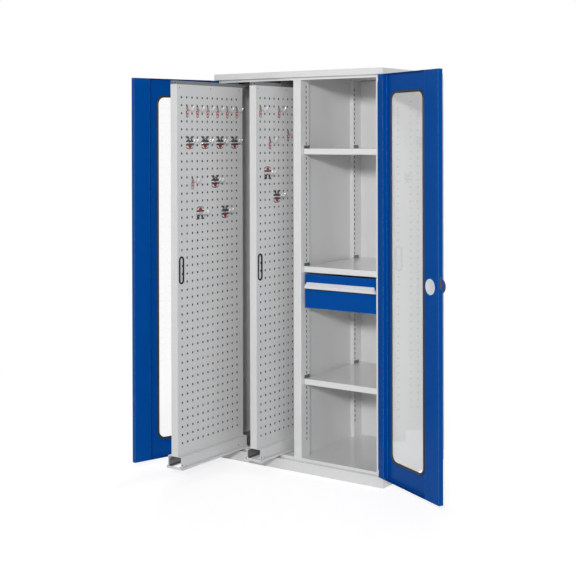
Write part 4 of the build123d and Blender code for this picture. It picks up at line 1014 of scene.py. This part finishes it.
# Inset from the seal's outer edge, and depth.
SEAL_PROFILE = [(0.0, -297.8), (1.4, -294.8), (3.8, -292.9), (6.6, -292.3), (9.4, -293.2),
                (11.4, -295.2), (12.0, -297.0), (12.0, -299.2), (9.0, -300.0), (2.0, -300.0),
                (0.0, -299.2)]
SEAL_SHARP = 50.0
PANE_INSET = 11.5
PANE_SPAN = (-299.0, -296.0)


def door_place(side):
    """Matrix from the closed right door's own millimetres to the open door."""
    way = 1 if side == "right" else -1
    x, y, _ = joint_named(f"{side}_door_hinge")["pos_m"]
    pivot = Vector((x, y, 0))
    turn = Matrix.Rotation(math.radians(way * DOOR_OPEN[side]), 4, "Z")
    mirror = Matrix.Diagonal((way, 1, 1, 1))
    return (Matrix.Translation(pivot) @ turn @ Matrix.Translation(-pivot)
            @ mirror @ Matrix.Scale(MM, 4))


def window_outline(inset):
    """Rounded outline of (x, z) in millimetres, inset from the seal's outer edge."""
    x_low, x_high = WINDOW_X[0] + WINDOW_RADIUS, WINDOW_X[1] - WINDOW_RADIUS
    z_low, z_high = WINDOW_Z[0] + WINDOW_RADIUS, WINDOW_Z[1] - WINDOW_RADIUS
    radius = WINDOW_RADIUS - inset
    outline = []
    for quarter, (x, z) in enumerate(((x_high, z_high), (x_low, z_high), (x_low, z_low),
                                      (x_high, z_low))):
        for turn in range(0, QUARTER + 1, CORNER_STEP):
            angle = math.radians(QUARTER * quarter + turn)
            outline.append((x + radius * math.cos(angle), z + radius * math.sin(angle)))
    return outline


def window_ring(bm, place, inset, y):
    """Ring of points round the window at one inset and depth, on the open door."""
    return [bm.verts.new(place @ Vector((x, y, z))) for x, z in window_outline(inset)]


def make_window(side, finishes):
    """Rubber bead round the window and the clear pane in it."""
    place = door_place(side)
    bead, sheet = bmesh.new(), bmesh.new()
    add_sweep(bead, [window_ring(bead, place, inset, y) for inset, y in SEAL_PROFILE])
    piece = new_piece(bead, f"{side}_window_seal", f"{side}_door", "seal_black", finishes)
    shade_by_angle(piece, SEAL_SHARP)
    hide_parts(f"{side}_door_seal")
    add_slab(sheet, *(window_ring(sheet, place, PANE_INSET, y) for y in PANE_SPAN))
    piece = new_piece(sheet, f"{side}_window_pane", f"{side}_door", "pane", finishes)
    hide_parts(f"{side}_door_pane")


# ---------------------------------------------------------------- lock
# Profiles of (radius, height) and spans in millimetres, measured out of each piece's seat.
ROSETTE_PROFILE = [(35, -2), (35, -0.7), (34.3, 0.0), (30, 0.0), (28.6, -0.5), (27.6, -0.9),
                   (12, -0.9), (11, -1.2), (0, -1.2)]
KNOB_PROFILE = [
    (5.0, -17.3), (5.0, 0.0), (24.5, 0.0), (25.8, 0.6), (26.6, 2.2), (32.4, 23.6),
    (33.0, 25.4), (32.6, 27.2), (28.6, 30.4), (27.0, 31.0), (25.4, 30.6), (24.6, 29.6),
    (10.6, 28.6), (10.0, 28.9), (9.6, 30.6), (9.0, 31.0), (0.0, 31.0)]
LOCK_SIDES = 64
BAR_SPAN = (10.2, 23.0)
BAR_WIDTH = 5.5
BAR_OUT = (28.9, 31.1)
SLIT_LENGTH = 4.2
SLIT_WIDTH = 0.9
SLIT_OUT = (30.9, 31.05)
BLOCK_ROUNDING = 0.25


def lock_frame():
    """Lock's centre on the open right door, and the direction to the outside."""
    joint = joint_named("lock_knob_turn")
    axis = Vector(joint["axis"]).normalized()
    return Vector(joint["pos_m"]), axis if axis_points_out(axis) else -axis


def add_lathed(bm, profile, place, turn):
    """Finely turned form from a profile in millimetres."""
    add_turned(bm, [(r * MM, h * MM) for r, h in profile], place, turn, LOCK_SIDES)


def make_lock(finishes):
    """White rosette on the door's inner face, and the knob on its outer one."""
    place, outward = lock_frame()
    bm = bmesh.new()
    add_lathed(bm, ROSETTE_PROFILE, face_along(place, -outward, "lock_rosette"),
               turn_to(-outward))
    piece = new_piece(bm, "rosette_plate", "right_door", "rosette", finishes, smooth=True)
    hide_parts("lock_rosette")
    make_knob(place, outward, finishes)


def make_knob(place, outward, finishes):
    """Turning knob with a rounded rim, a grip bar across its face and a key cylinder."""
    turn = turn_to(outward)
    base = face_along(place, -outward, "lock_knob") - outward * (KNOB_PROFILE[0][1] * MM)
    bm, slit = bmesh.new(), bmesh.new()
    add_lathed(bm, KNOB_PROFILE, base, turn)
    near, far = BAR_SPAN
    for across in ((-far, -near), (near, far)):
        add_block(bm, base, turn, across, (-BAR_WIDTH, BAR_WIDTH), BAR_OUT)
    piece = new_piece(bm, "turning_knob", "lock_knob", "knob", finishes)
    shade_by_angle(piece)
    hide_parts("lock_knob")
    add_block(slit, base, turn, (-SLIT_WIDTH, SLIT_WIDTH), (-SLIT_LENGTH, SLIT_LENGTH),
              SLIT_OUT)
    new_piece(slit, "key_slit", "lock_knob", "pin_steel", finishes)


def add_block(bm, place, turn, *spans):
    """Bevelled block given by its three spans in the turned frame, in millimetres."""
    made = bmesh.ops.create_cube(bm, size=1.0)["verts"]
    for vert in made:
        local = Vector([low + (high - low) * (part + 0.5)
                        for part, (low, high) in zip(vert.co, spans)])
        vert.co = place + turn @ (local * MM)
    edges = list(dict.fromkeys(edge for vert in made for edge in vert.link_edges))
    low, high = spans[-1]
    bmesh.ops.bevel(bm, geom=edges, offset=BLOCK_ROUNDING * (high - low) * MM, segments=2,
                    affect="EDGES", profile=0.5)


def axis_points_out(axis):
    """True if the joint's axis runs from the cabinet side of the door to its outside."""
    low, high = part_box("lock_knob")
    case_low, case_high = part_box("lock_case")
    knob, case = (low + high) / 2, (case_low + case_high) / 2
    return (knob - case).dot(axis) > 0


def face_along(place, way, node):
    """Point on the lock's centre line where the node reaches farthest along way."""
    reach = max((v.co - place).dot(way) for v in frame["nodes"][node].data.vertices)
    return place + way * reach


# ---------------------------------------------------------------- main
def main():
    """Studio first, then every piece of the cabinet."""
    bpy.context.scene.view_settings.view_transform = "Standard"
    make_camera()
    make_world()
    make_lights()
    make_floor()
    finishes = make_finishes()
    dress_nodes(finishes)
    for side in ("left", "right"):
        make_perforated_sheet(side, finishes)
        make_panel_screws(side, finishes)
        make_runner_holes(side, finishes)
        make_window(side, finishes)
    make_hooks("left", LEFT_SINGLES, LEFT_DOUBLES, finishes)
    make_hooks("right", RIGHT_SINGLES, RIGHT_DOUBLES, finishes)
    make_lock(finishes)
    make_slotted_posts(finishes)
    make_slot_strips(finishes)
    make_grip_shadow(finishes)


main()
